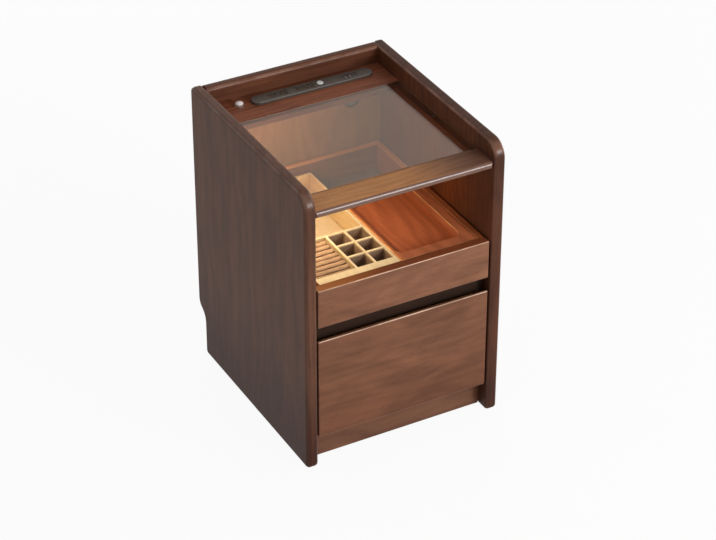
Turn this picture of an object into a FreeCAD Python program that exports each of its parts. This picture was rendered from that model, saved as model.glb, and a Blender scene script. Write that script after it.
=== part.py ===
import FreeCAD, Part
import math
import os

# Bedside cabinet with a glass display top, a lit niche, two drawers, a socket strip and a light switch.
# Millimetres, +Z up, the front faces -Y, the origin is on the floor under the middle of the cabinet.

# Cabinet
cabinet_width = 350.0
cabinet_depth = 395.0
cabinet_height = 505.0
gallery_height = 31.0

# Side panels with a skirting notch at the lower back
panel_thickness = 20.0
panel_edge_radius = 6.0
panel_corner_radius = 30.0
panel_heel_margin = 2.0
notch_depth = 23.0
notch_height = 65.0
notch_rise = 39.0
glide_height = 2.0
glide_length = 34.0
glide_end_gap = 16.0

# Front rail, glass and rear ledge, which make the top
rail_setback = 4.0
rail_depth = 48.0
rail_thickness = 14.0
rail_end_radius = 5.0
glass_thickness = 6.0
glass_gap = 0.6
glass_edge_radius = 1.0
pad_thickness = 1.0
pad_radius = 3.5
lip_width = 8.0
ledge_depth = 71.0
ledge_thickness = 15.0
batten_width = 12.0
batten_height = 12.0

# Back rail and back panel
back_rail_thickness = 20.0
back_rail_height = 62.0
back_rail_inset = 3.0
back_rail_edge_radius = 7.0
back_panel_thickness = 6.0
back_panel_cover = 5.0
back_panel_drop = 16.0
groove_depth = 5.0
groove_fit = 0.15

# Plinth, bottom and the rails behind the drawers
plinth_setback = 27.0
plinth_thickness = 18.0
plinth_floor_gap = 3.0
bottom_thickness = 18.0
stretcher_thickness = 18.0
divider_setback = 26.0
divider_depth = 50.0
divider_height = 28.0
divider_box_gap = 5.0
divider_edge_radius = 2.0

# Drawer fronts
lower_front_bottom = 56.0
lower_front_height = 182.0
finger_gap = 25.0
upper_front_height = 68.5
front_thickness = 18.0
front_setback = 3.0
front_side_gap = 2.75
front_edge_radius = 2.5
grip_land = 4.5

# Drawer boxes
box_wall = 12.0
box_side_play = 0.8
box_back_gap = 3.0
box_lift = 15.0
lower_box_height = 150.0
box_top_radius = 2.0
drawer_bottom_thickness = 5.0
drawer_groove_depth = 4.0
drawer_groove_lift = 4.0

# Drawer slides
slide_steel = 1.2
slide_play = 0.3
slide_width = 30.0
slide_height = 13.0
slide_flange_height = 21.0
slide_lip_height = 8.0
slide_front_gap = 5.0
slide_back_gap = 14.0

# Dowels and screws
dowel_radius = 4.0
dowel_in_board = 18.0
dowel_in_panel = 12.0
hole_fit = 0.1
screw_radius = 1.6
screw_head_radius = 3.2
screw_head_depth = 1.8
front_screw_length = 22.0
back_screw_length = 24.0
pan_head_radius = 3.4
pan_head_height = 1.0
pan_screw_length = 11.0
overrun = 1.0

# Organizer in the left half of the upper drawer
organizer_play = 0.5
organizer_length = 287.0
organizer_wall = 4.0
organizer_base_thickness = 3.0
organizer_top_gap = 1.5
insert_rim_height = 5.0
organizer_middle_offset = 2.0
ring_column_width = 67.0
cell_depth = 31.0
cell_column_count = 2
cell_row_count = 3
liner_thickness = 1.0
ring_roll_count = 8
ring_roll_height = 38.0
ring_roll_gap = 0.5
ring_roll_end_radius = 2.5

# Tray in the right half of the upper drawer
tray_length = 198.0
tray_rim = 9.0
tray_left_rim = 5.5
tray_right_rim = 16.0
tray_gap = 1.5
tray_corner_radius = 14.0
tray_depth = 14.0
tray_floor_thickness = 4.0
tray_lip = 3.0
tray_edge_radius = 1.5

# Socket strip on the rear ledge
socket_left_gap = 65.0
socket_right_gap = 25.0
socket_width = 25.0
socket_height = 5.5
socket_edge_radius = 2.0
socket_back_gap = 12.5
socket_body_inset = 12.0
socket_body_width = 19.0
socket_body_depth = 36.0
socket_body_radius = 4.0
socket_fit = 0.5
insert_drop = 0.8
insert_radius = 3.0
outlet_length = 34.0
outlet_width = 18.0
outlet_count = 2
pin_slot_length = 7.0
pin_slot_width = 2.4
pin_slot_depth = 3.6
pin_pair_spacing = 8.0
pin_group_offset = 8.5
usb_length = 30.0
usb_width = 14.0
usb_port_length = 9.2
usb_port_width = 3.4
usb_port_spacing = 8.0
lens_radius = 5.5
lens_rise = 1.2

# Light switch on the rear ledge
switch_panel_gap = 45.0
switch_back_gap = 22.0
switch_flange_radius = 9.0
switch_flange_height = 1.5
switch_barrel_radius = 6.0
switch_barrel_depth = 27.0
switch_bore_depth = 11.5
switch_stem_radius = 3.0
switch_stem_play = 0.3
switch_travel = 1.5
switch_stop_gap = 0.3
switch_cap_radius = 6.5
switch_cap_side = 1.6
switch_cap_dome = 2.6
nut_sides = 6
nut_flats = 17.0
nut_height = 4.0

# Light bar under the left glass batten, with its driver and leads
led_size = 16.0
led_wall = 1.5
led_end_gap = 8.0
led_cap_thickness = 1.5
led_board_width = 10.0
led_board_thickness = 1.6
driver_width = 24.0
driver_height = 18.0
driver_panel_gap = 3.0
driver_front_gap = 9.0
driver_length = 44.0
driver_edge_radius = 2.0
lead_radius = 1.5

# Cable grommet in the back panel
grommet_panel_gap = 55.0
grommet_drop = 50.0
grommet_bore_radius = 12.0
grommet_wall = 2.0
grommet_flange = 2.5
grommet_flange_thickness = 1.5

# Levels and faces that several pieces share
inner_half = cabinet_width / 2 - panel_thickness
front_y = -cabinet_depth / 2
back_y = cabinet_depth / 2
top_z = cabinet_height - gallery_height
lip_z = top_z - glass_thickness - pad_thickness
rail_front_y = front_y + rail_setback
rail_back_y = rail_front_y + rail_depth
rail_bottom_z = top_z - rail_thickness
back_rail_back_y = back_y - back_rail_inset
back_rail_front_y = back_rail_back_y - back_rail_thickness
ledge_front_y = back_rail_front_y - ledge_depth
ledge_bottom_z = top_z - ledge_thickness
back_panel_back_y = back_y - notch_depth - back_panel_cover
back_panel_front_y = back_panel_back_y - back_panel_thickness
bottom_top_z = lower_front_bottom - front_edge_radius
bottom_low_z = bottom_top_z - bottom_thickness
back_panel_low_z = bottom_low_z - back_panel_drop
lower_front_top_z = lower_front_bottom + lower_front_height
lower_box_low_z = lower_front_bottom + box_lift
lower_box_top_z = lower_box_low_z + lower_box_height
upper_front_bottom = lower_front_top_z + finger_gap
upper_front_top_z = upper_front_bottom + upper_front_height
front_face_y = front_y + front_setback
box_front_y = front_face_y + front_thickness
box_back_y = back_panel_front_y - box_back_gap
box_outer = inner_half - slide_steel - pan_head_height - box_side_play
box_inner = box_outer - box_wall
tolerance = 0.001


def V(x, y, z):
    """A point or direction."""
    return FreeCAD.Vector(x, y, z)


up = V(0, 0, 1)
down = V(0, 0, -1)
forward = V(0, -1, 0)
rightward = V(1, 0, 0)


def block(x, y, z):
    """A box between the low and high value given for each axis."""
    return Part.makeBox(x[1] - x[0], y[1] - y[0], z[1] - z[0], V(x[0], y[0], z[0]))


def rod(start, direction, radius, length):
    """A cylinder from a point along a direction."""
    return Part.makeCylinder(radius, length, start, direction)


def joined(shapes):
    """Touching or crossing shapes made into one solid."""
    return shapes[0].fuse(shapes[1:]).removeSplitter()


def group(shapes):
    """Separate solids kept side by side in one node."""
    return Part.makeCompound(shapes)


def mirrored(shape):
    """The same shape on the other side of the cabinet."""
    return shape.mirror(V(0, 0, 0), rightward)


def eased(shape, radius, wanted):
    """The shape with the edges that pass a test rounded."""
    return shape.makeFillet(radius, [edge for edge in shape.Edges if wanted(edge)])


def upright(edge):
    """True for an edge along Z."""
    box = edge.BoundBox
    return box.ZLength > tolerance and box.DiagonalLength - box.ZLength < tolerance


def at_level(z):
    """A test for edges that lie flat at one height."""
    return lambda edge: max(abs(edge.BoundBox.ZMin - z), abs(edge.BoundBox.ZMax - z)) < tolerance


def rounded_plate(x, y, z, radius):
    """A plate with round upright corners."""
    return eased(block(x, y, z), radius, upright)


def stadium_plate(x, y, z):
    """A plate with half-round ends along X."""
    radius = (y[1] - y[0]) / 2
    middle = (y[0] + y[1]) / 2
    straight_x = (x[0] + radius, x[1] - radius)
    ends = [rod(V(end, middle, z[0]), up, radius, z[1] - z[0]) for end in straight_x]
    return joined([block(straight_x, y, z)] + ends)


def arc(centre, radius, start, end):
    """An arc in the YZ plane, by its centre and its start and end angles."""
    angles = (start, (start + end) / 2, end)
    spots = [V(0, centre[0] + radius * math.cos(a), centre[1] + radius * math.sin(a)) for a in angles]
    return Part.Arc(*spots).toShape()


def outline(arcs):
    """A face in the YZ plane: arcs in order, each joined to the next by a straight line."""
    edges = []
    for bend, following in zip(arcs, arcs[1:] + arcs[:1]):
        start = bend.Vertexes[-1].Point
        end = following.Vertexes[0].Point
        edges.append(bend)
        if start.distanceToPoint(end) > tolerance:
            edges.append(Part.makeLine(start, end))
    return Part.Face(Part.Wire(edges))


def countersunk(seat, direction, length, clearance=0):
    """A screw whose conical head is flush with its seat, or with a clearance the hole for it."""
    head = Part.makeCone(
        screw_head_radius + clearance, screw_radius + clearance, screw_head_depth, seat, direction
    )
    return joined([head, rod(seat, direction, screw_radius + clearance, length + clearance)])


def pan_head(seat, direction, length):
    """A screw with a low flat head that stands on its seat."""
    head = rod(seat - direction * pan_head_height, direction, pan_head_radius, pan_head_height)
    return joined([head, rod(seat, direction, screw_radius, length)])


def pan_hole(seat, direction, length):
    """The hole under the head of a low-headed screw."""
    return rod(seat, direction, screw_radius + hole_fit, length + hole_fit)


def dowel(side, y, z, clearance=0):
    """A dowel from a board's end into a side panel, left at -1 and right at 1, or the hole for it."""
    start = V(side * (inner_half - dowel_in_board - clearance), y, z)
    length = dowel_in_board + dowel_in_panel + 2 * clearance
    return rod(start, V(side, 0, 0), dowel_radius + clearance, length)


def along(span, shares):
    """Places at shares of a span."""
    return [span[0] + (span[1] - span[0]) * share for share in shares]


nodes = {}

# Side panel: a board cut to outline, rounded all round
half_turn = math.pi
quarter_turn = math.pi / 2
notch_radius = (notch_rise**2 + notch_depth**2) / (4 * notch_depth)
notch_angle = math.asin(notch_rise / (2 * notch_radius))
notch_top = (back_y - notch_radius, notch_height + notch_rise)
notch_foot = (back_y - notch_depth + notch_radius, notch_height)
heel_radius = panel_edge_radius + panel_heel_margin
brow = (front_y + panel_corner_radius, cabinet_height - panel_corner_radius)
panel_face = outline(
    [
        arc(brow, panel_corner_radius, half_turn, quarter_turn),
        arc((back_y - heel_radius, cabinet_height - heel_radius), heel_radius, quarter_turn, 0),
        arc(notch_top, notch_radius, 0, -notch_angle),
        arc(notch_foot, notch_radius, half_turn - notch_angle, half_turn),
        arc((back_y - notch_depth - heel_radius, glide_height + heel_radius), heel_radius, 0, -quarter_turn),
        arc((front_y + heel_radius, glide_height + heel_radius), heel_radius, -quarter_turn, -half_turn),
    ]
)
panel = panel_face.extrude(V(panel_thickness, 0, 0))
panel.translate(V(inner_half, 0, 0))
panel = eased(panel, panel_edge_radius, lambda edge: edge.BoundBox.XLength < tolerance)

# Back panel: plywood in grooves of the side panels and of the ledge
back_panel_half = inner_half + groove_depth - groove_fit
back_panel_top_z = ledge_bottom_z + groove_depth - groove_fit
back_groove = block(
    (-inner_half - groove_depth, inner_half + groove_depth),
    (back_panel_front_y - groove_fit, back_panel_back_y + groove_fit),
    (back_panel_low_z - groove_fit, ledge_bottom_z + groove_depth),
)
grommet_place = V(inner_half - grommet_panel_gap, back_panel_back_y, top_z - grommet_drop)
grommet_sleeve_radius = grommet_bore_radius + grommet_wall
back_panel = block(
    (-back_panel_half, back_panel_half),
    (back_panel_front_y, back_panel_back_y),
    (back_panel_low_z, back_panel_top_z),
).cut(
    rod(
        grommet_place + V(0, overrun, 0),
        forward,
        grommet_sleeve_radius + hole_fit,
        back_panel_thickness + 2 * overrun,
    )
)

# Front rail: bullnosed at the front, with a lip at the back for the glass
nose_radius = rail_thickness / 2
rail_lip_y = rail_back_y + lip_width
rail_y = (rail_front_y, rail_back_y)
rail_z = (rail_bottom_z, top_z)
nose_middle = (rail_front_y + nose_radius, rail_bottom_z + nose_radius)
nose = arc(nose_middle, nose_radius, -quarter_turn, -3 * quarter_turn)
rail_corners = [
    V(0, rail_back_y, top_z),
    V(0, rail_back_y, lip_z),
    V(0, rail_lip_y, lip_z),
    V(0, rail_lip_y, rail_bottom_z),
]
rail_path = Part.makePolygon([nose.Vertexes[-1].Point] + rail_corners + [nose.Vertexes[0].Point])
front_rail = Part.Face(Part.Wire([nose] + rail_path.Edges)).extrude(V(2 * inner_half, 0, 0))
front_rail.translate(V(-inner_half, 0, 0))
rail_plan = eased(
    block((-inner_half, inner_half), (rail_front_y, rail_lip_y), rail_z),
    rail_end_radius,
    lambda edge: upright(edge) and edge.BoundBox.YMax < rail_front_y + tolerance,
)
front_rail = front_rail.common(rail_plan)

# Rear ledge: carries the socket strip and the light switch, with a lip at the front for the glass
socket_back_y = back_rail_front_y - socket_back_gap
socket_front_y = socket_back_y - socket_width
socket_y = (socket_front_y + socket_back_y) / 2
socket_x = (-inner_half + socket_left_gap, inner_half - socket_right_gap)
socket_body_x = (socket_x[0] + socket_body_inset, socket_x[1] - socket_body_inset)
socket_body_y = (socket_y - socket_body_width / 2, socket_y + socket_body_width / 2)
socket_body_z = (top_z - socket_body_depth, top_z)
switch_y = back_rail_front_y - switch_back_gap
switch_x = -inner_half + switch_panel_gap
switch_place = V(switch_x, switch_y, top_z)
ledge_y = (ledge_front_y, back_rail_front_y)
ledge_z = (ledge_bottom_z, top_z)
ledge = joined(
    [
        block((-inner_half, inner_half), ledge_y, ledge_z),
        block((-inner_half, inner_half), (ledge_front_y - lip_width, ledge_front_y), (ledge_bottom_z, lip_z)),
    ]
)
socket_cutout = rounded_plate(
    (socket_body_x[0] - socket_fit, socket_body_x[1] + socket_fit),
    (socket_body_y[0] - socket_fit, socket_body_y[1] + socket_fit),
    (ledge_bottom_z - overrun, top_z + overrun),
    socket_body_radius,
)
switch_hole = rod(
    switch_place + V(0, 0, overrun),
    down,
    switch_barrel_radius + hole_fit,
    ledge_thickness + 2 * overrun,
)
ledge = ledge.cut([socket_cutout, switch_hole, back_groove])

# Back rail: stands behind the ledge and closes the gallery
back_rail_y = (back_rail_front_y, back_rail_back_y)
back_rail_z = (cabinet_height - back_rail_height, cabinet_height)
back_rail = eased(
    block((-inner_half, inner_half), back_rail_y, back_rail_z),
    back_rail_edge_radius,
    lambda edge: at_level(cabinet_height)(edge) and edge.BoundBox.XLength > edge.BoundBox.YLength,
)

# Divider rail in the finger gap, bottom panel, plinth and rear stretcher
divider_y = (front_y + divider_setback, front_y + divider_setback + divider_depth)
divider_low_z = lower_box_top_z + divider_box_gap
divider_z = (divider_low_z, divider_low_z + divider_height)
divider_rail = eased(
    block((-inner_half, inner_half), divider_y, divider_z),
    divider_edge_radius,
    lambda edge: edge.BoundBox.YMax < divider_y[0] + tolerance and not upright(edge),
)
plinth_y = (front_y + plinth_setback, front_y + plinth_setback + plinth_thickness)
plinth_z = (plinth_floor_gap, bottom_top_z)
plinth = block((-inner_half, inner_half), plinth_y, plinth_z)
bottom_y = (plinth_y[1], back_panel_front_y)
bottom_z = (bottom_low_z, bottom_top_z)
bottom_panel = block((-inner_half, inner_half), bottom_y, bottom_z)
stretcher_y = (back_panel_front_y - stretcher_thickness, back_panel_front_y)
stretcher_z = (plinth_floor_gap, bottom_low_z)
rear_stretcher = block((-inner_half, inner_half), stretcher_y, stretcher_z)

# Dowels join each board to both side panels
board_pair_shares = (0.3, 0.7)
board_row_shares = (0.12, 0.5, 0.88)
middle_share = (0.5,)
boards = {
    "front_rail": (front_rail, rail_y, rail_z, board_pair_shares, middle_share),
    "rear_ledge": (ledge, ledge_y, ledge_z, board_pair_shares, middle_share),
    "back_rail": (back_rail, back_rail_y, back_rail_z, middle_share, board_pair_shares),
    "divider_rail": (divider_rail, divider_y, divider_z, board_pair_shares, middle_share),
    "plinth": (plinth, plinth_y, plinth_z, middle_share, board_pair_shares),
    "bottom_panel": (bottom_panel, bottom_y, bottom_z, board_row_shares, middle_share),
    "rear_stretcher": (rear_stretcher, stretcher_y, stretcher_z, middle_share, middle_share),
}
dowels = []
panel_holes = []
for name, (board, y_span, z_span, y_shares, z_shares) in boards.items():
    spots = [(y, z) for y in along(y_span, y_shares) for z in along(z_span, z_shares)]
    dowels += [dowel(side, y, z) for side in (-1, 1) for y, z in spots]
    panel_holes += [dowel(1, y, z, hole_fit) for y, z in spots]
    nodes[name] = board.cut([dowel(side, y, z, hole_fit) for side in (-1, 1) for y, z in spots])
nodes["right_side_panel"] = panel.cut(panel_holes + [back_groove])
nodes["left_side_panel"] = mirrored(nodes["right_side_panel"])
nodes["carcass_dowels"] = group(dowels)

# Screws through the back panel into the bottom panel
back_screw_shares = (0.1, 0.5, 0.9)
back_screw_z = (bottom_low_z + bottom_top_z) / 2
back_screw_x = along((-inner_half, inner_half), back_screw_shares)
back_screw_seats = [V(x, back_panel_back_y, back_screw_z) for x in back_screw_x]
back_screws = [countersunk(seat, forward, back_screw_length) for seat in back_screw_seats]
back_screw_holes = [countersunk(seat, forward, back_screw_length, hole_fit) for seat in back_screw_seats]
nodes["back_panel"] = back_panel.cut(back_screw_holes)
nodes["bottom_panel"] = nodes["bottom_panel"].cut(back_screw_holes)
nodes["back_panel_screws"] = group(back_screws)

# Foot glides: strips under the flat of each side panel's lower edge
glide_width = panel_thickness - 2 * panel_edge_radius
glide_middle = inner_half + panel_thickness / 2
glide_x = (glide_middle - glide_width / 2, glide_middle + glide_width / 2)
glide_fronts = (front_y + glide_end_gap, back_y - notch_depth - glide_end_gap - glide_length)
glides = []
for y in glide_fronts:
    strip = block(glide_x, (y, y + glide_length), (0, glide_height))
    glides += [strip, mirrored(strip)]
nodes["foot_glides"] = group(glides)

# Glass top on pads, on the two lips and on two battens
batten_y = (rail_lip_y, ledge_front_y - lip_width)
batten_z = (lip_z - batten_height, lip_z)
batten = block((inner_half - batten_width, inner_half), batten_y, batten_z)
nodes["glass_battens"] = group([batten, mirrored(batten)])
pad_x = inner_half - batten_width / 2
pad_rows = (rail_back_y + lip_width / 2, (batten_y[0] + batten_y[1]) / 2, ledge_front_y - lip_width / 2)
pad_spots = [V(side * pad_x, y, lip_z) for side in (-1, 1) for y in pad_rows]
nodes["glass_pads"] = group([rod(spot, up, pad_radius, pad_thickness) for spot in pad_spots])
nodes["glass_top"] = eased(
    block(
        (-inner_half + glass_gap, inner_half - glass_gap),
        (rail_back_y + glass_gap, ledge_front_y - glass_gap),
        (top_z - glass_thickness, top_z),
    ),
    glass_edge_radius,
    at_level(top_z),
)

# Cable grommet: a sleeve with a flange on each face of the back panel
grommet_length = back_panel_thickness + 2 * grommet_flange_thickness
grommet_start = grommet_place + V(0, grommet_flange_thickness, 0)
grommet_flanges = [
    rod(start, forward, grommet_sleeve_radius + grommet_flange, grommet_flange_thickness)
    for start in (grommet_start, grommet_place - V(0, back_panel_thickness, 0))
]
grommet_sleeve = rod(grommet_start, forward, grommet_sleeve_radius, grommet_length)
grommet_bore = rod(
    grommet_start + V(0, overrun, 0), forward, grommet_bore_radius, grommet_length + 2 * overrun
)
nodes["cable_grommet"] = joined([grommet_sleeve] + grommet_flanges).cut(grommet_bore)

# Socket strip: a raised bezel over a body that hangs through the ledge, with inserts in the bezel
socket_top_z = top_z + socket_height
insert_top_z = socket_top_z - insert_drop
fitting_lengths = [outlet_length] * outlet_count + [2 * lens_radius, usb_length]
fitting_gap_shares = (0.21, 0.16, 0.075, 0.36)
fitting_room = socket_body_x[1] - socket_body_x[0] - sum(fitting_lengths)
fitting_places = []
fitting_end = socket_body_x[0]
for length, share in zip(fitting_lengths, fitting_gap_shares):
    fitting_start = fitting_end + fitting_room * share
    fitting_end = fitting_start + length
    fitting_places.append((fitting_start + fitting_end) / 2)
outlet_places = fitting_places[:outlet_count]
lens_x, usb_x = fitting_places[outlet_count:]


def insert_plate(middle, length, width, top, clearance=0):
    """A plate that fills a pocket of the bezel, or with a clearance the pocket itself."""
    return rounded_plate(
        (middle - length / 2 - clearance, middle + length / 2 + clearance),
        (socket_y - width / 2 - clearance, socket_y + width / 2 + clearance),
        (top_z, top),
        insert_radius,
    )


def slot(x, y, length, width, top):
    """A cut for a pin or a plug, long in Y and open at the top."""
    return block(
        (x - width / 2, x + width / 2),
        (y - length / 2, y + length / 2),
        (top - pin_slot_depth, top + overrun),
    )


bezel = eased(
    stadium_plate(
        socket_x,
        (socket_front_y, socket_back_y),
        (top_z, socket_top_z),
    ),
    socket_edge_radius,
    at_level(socket_top_z),
)
lens_seat = V(lens_x, socket_y, top_z)
pocket_top_z = socket_top_z + overrun
pockets = [insert_plate(x, outlet_length, outlet_width, pocket_top_z, hole_fit) for x in outlet_places]
pockets.append(insert_plate(usb_x, usb_length, usb_width, pocket_top_z, hole_fit))
pockets.append(rod(lens_seat, up, lens_radius + hole_fit, socket_height + overrun))
nodes["socket_bezel"] = bezel.cut(pockets)
nodes["socket_body"] = rounded_plate(socket_body_x, socket_body_y, socket_body_z, socket_body_radius)

pin_step = pin_pair_spacing / 2
outlets = []
for middle in outlet_places:
    pair_x = middle - pin_group_offset
    trio_x = middle + pin_group_offset
    pin_spots = [
        (pair_x - pin_step, socket_y),
        (pair_x + pin_step, socket_y),
        (trio_x, socket_y + pin_step),
        (trio_x - pin_step, socket_y - pin_step),
        (trio_x + pin_step, socket_y - pin_step),
    ]
    cuts = [slot(x, y, pin_slot_length, pin_slot_width, insert_top_z) for x, y in pin_spots]
    outlets.append(insert_plate(middle, outlet_length, outlet_width, insert_top_z).cut(cuts))
nodes["outlet_inserts"] = group(outlets)

usb_spots = (usb_x - usb_port_spacing / 2, usb_x + usb_port_spacing / 2)
usb_ports = [slot(x, socket_y, usb_port_length, usb_port_width, insert_top_z) for x in usb_spots]
nodes["usb_insert"] = insert_plate(usb_x, usb_length, usb_width, insert_top_z).cut(usb_ports)
nodes["power_lens"] = eased(
    rod(lens_seat, up, lens_radius, socket_height + lens_rise),
    lens_rise,
    at_level(socket_top_z + lens_rise),
)

# Light switch: a barrel through the ledge, held by a nut, with a sprung button
switch_bore = rod(
    switch_place + V(0, 0, switch_flange_height + overrun),
    down,
    switch_stem_radius + switch_stem_play,
    switch_bore_depth + switch_flange_height + overrun,
)
nodes["switch_bezel"] = joined(
    [
        rod(switch_place, up, switch_flange_radius, switch_flange_height),
        rod(switch_place, down, switch_barrel_radius, switch_barrel_depth),
    ]
).cut(switch_bore)
nut_radius = nut_flats / 2 / math.cos(half_turn / nut_sides)
nut_angles = [2 * half_turn * turn / nut_sides for turn in range(nut_sides + 1)]
nut_seat = switch_place - V(0, 0, ledge_thickness)
nut_points = [nut_seat + V(nut_radius * math.cos(a), nut_radius * math.sin(a), 0) for a in nut_angles]
nut_hole = rod(
    nut_seat + V(0, 0, overrun),
    down,
    switch_barrel_radius + hole_fit,
    nut_height + 2 * overrun,
)
nodes["switch_nut"] = Part.Face(Part.makePolygon(nut_points)).extrude(V(0, 0, -nut_height)).cut(nut_hole)
cap_low_z = top_z + switch_flange_height + switch_travel + switch_stop_gap
cap_side_z = cap_low_z + switch_cap_side
cap_top_z = cap_side_z + switch_cap_dome
stem_low_z = top_z - switch_bore_depth + switch_travel + switch_stop_gap
dome_radius = (switch_cap_radius**2 + switch_cap_dome**2) / (2 * switch_cap_dome)
dome_angle = math.asin(switch_cap_radius / dome_radius)
dome = arc((0, cap_top_z - dome_radius), dome_radius, quarter_turn - dome_angle, quarter_turn)
button_side = Part.makePolygon(
    [
        V(0, 0, cap_top_z),
        V(0, 0, stem_low_z),
        V(0, switch_stem_radius, stem_low_z),
        V(0, switch_stem_radius, cap_low_z),
        V(0, switch_cap_radius, cap_low_z),
        V(0, switch_cap_radius, cap_side_z),
    ]
)
button = Part.Face(Part.Wire(button_side.Edges + [dome])).revolve(V(0, 0, 0), up, 360)
button.translate(V(switch_x, switch_y, 0))
nodes["switch_button"] = button

# Light bar: a corner profile under the left batten, with a lit board, a quarter-round diffuser and end caps
led_y = (batten_y[0] + led_end_gap, batten_y[1] - led_end_gap)
led_corner = (-inner_half, batten_z[0])
led_inside = (led_corner[0] + led_wall, led_corner[1] - led_wall)
led_reach = led_size - led_wall
nodes["led_profile"] = joined(
    [
        block((led_corner[0], led_inside[0]), led_y, (led_corner[1] - led_size, led_corner[1])),
        block((led_corner[0], led_corner[0] + led_size), led_y, (led_inside[1], led_corner[1])),
    ]
)
led_board_low = led_inside[1] - led_wall - led_board_width
nodes["led_strip"] = block(
    (led_inside[0], led_inside[0] + led_board_thickness),
    led_y,
    (led_board_low, led_board_low + led_board_width),
)


def quarter_round(radius, y):
    """A quarter cylinder in the profile's corner, towards the cabinet's middle and down."""
    start = V(led_inside[0], y[0], led_inside[1])
    whole = Part.makeCylinder(radius, y[1] - y[0], start, V(0, 1, 0))
    corner = block((led_inside[0], led_inside[0] + radius), y, (led_inside[1] - radius, led_inside[1]))
    return whole.common(corner)


nodes["led_diffuser"] = quarter_round(led_reach, led_y).cut(quarter_round(led_reach - led_wall, led_y))
nodes["led_end_caps"] = group(
    [
        quarter_round(led_reach, (led_y[0] - led_cap_thickness, led_y[0])),
        quarter_round(led_reach, (led_y[1], led_y[1] + led_cap_thickness)),
    ]
)

# Driver under the ledge, with short leads from the light bar, the switch and the socket body
driver_x = (-inner_half + driver_panel_gap, -inner_half + driver_panel_gap + driver_width)
driver_y = (ledge_front_y + driver_front_gap, ledge_front_y + driver_front_gap + driver_length)
driver_z = (ledge_bottom_z - driver_height, ledge_bottom_z)
nodes["led_driver"] = rounded_plate(driver_x, driver_y, driver_z, driver_edge_radius)
led_lead_start = V(led_inside[0] + led_reach / 2, led_y[1] + led_cap_thickness, led_inside[1] - led_reach / 2)
switch_lead_z = ledge_bottom_z - nut_height - 2 * lead_radius
switch_lead_start = V(switch_x - switch_barrel_radius, switch_y, switch_lead_z)
feed_lead_y = socket_body_y[0] + 2 * socket_body_radius
feed_lead_start = V(socket_body_x[0], feed_lead_y, driver_z[0] + 2 * lead_radius)
nodes["light_leads"] = group(
    [
        rod(led_lead_start, V(0, 1, 0), lead_radius, driver_y[0] - led_lead_start.y),
        rod(switch_lead_start, V(-1, 0, 0), lead_radius, switch_lead_start.x - driver_x[1]),
        rod(feed_lead_start, V(-1, 0, 0), lead_radius, feed_lead_start.x - driver_x[1]),
    ]
)

# Drawers on slides of three nested steel sections, one slide under each side
slide_y = (box_front_y + slide_front_gap, box_back_y - slide_back_gap)
middle_in = slide_steel + slide_play
runner_in = middle_in + slide_steel + slide_play
middle_floor = slide_steel + slide_play
runner_floor = middle_floor + slide_steel + slide_play
slide_screw_shares = (0.1, 0.5, 0.9)
front_screw_x_shares = (0.15, 0.85)
front_screw_z_shares = (0.4, 0.75)


def section(base, plates):
    """A pair of steel sections, each plate by its distances from the side panel and above the base."""
    strips = []
    for u, h in plates:
        strips.append(block((inner_half - u[1], inner_half - u[0]), slide_y, (base + h[0], base + h[1])))
    right = joined(strips)
    return group([right, mirrored(right)])


def channel(margin, floor, top, closed_at_top):
    """The plates of a channel, open upwards or downwards."""
    near = (margin, margin + slide_steel)
    far = (slide_width - margin - slide_steel, slide_width - margin)
    web = (top - slide_steel, top) if closed_at_top else (floor, floor + slide_steel)
    return [(near, (floor, top)), (far, (floor, top)), ((margin, slide_width - margin), web)]


def slide_sections(name, base):
    """The cabinet, middle and drawer members of a drawer's two slides."""
    cabinet_member = [
        ((0, slide_steel), (0, slide_flange_height)),
        ((0, slide_width), (0, slide_steel)),
        ((slide_width - slide_steel, slide_width), (0, slide_lip_height)),
    ]
    nodes[name + "_cabinet_rails"] = section(base, cabinet_member)
    nodes[name + "_middle_rails"] = section(
        base, channel(middle_in, middle_floor, slide_height - slide_steel, False)
    )
    nodes[name + "_drawer_rails"] = section(base, channel(runner_in, runner_floor, slide_height, True))


def flange_seats(base):
    """Where screws go through the flange of a drawer's right cabinet member."""
    height = base + (slide_height + slide_flange_height) / 2
    return [V(inner_half - slide_steel, y, height) for y in along(slide_y, slide_screw_shares)]


def drawer_front(bottom, height, bevel):
    """A front with soft edges, and with a bevel for the fingers along its upper back edge if it has one."""
    top = bottom + height
    front = block(
        (-inner_half + front_side_gap, inner_half - front_side_gap),
        (front_face_y, box_front_y),
        (bottom, top),
    )
    if bevel:
        upper_edges = [edge for edge in front.Edges if at_level(top)(edge)]
        front = front.makeChamfer(bevel, [edge for edge in upper_edges if edge.BoundBox.YMin > front_face_y])
    return eased(front, front_edge_radius, lambda edge: True)


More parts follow.
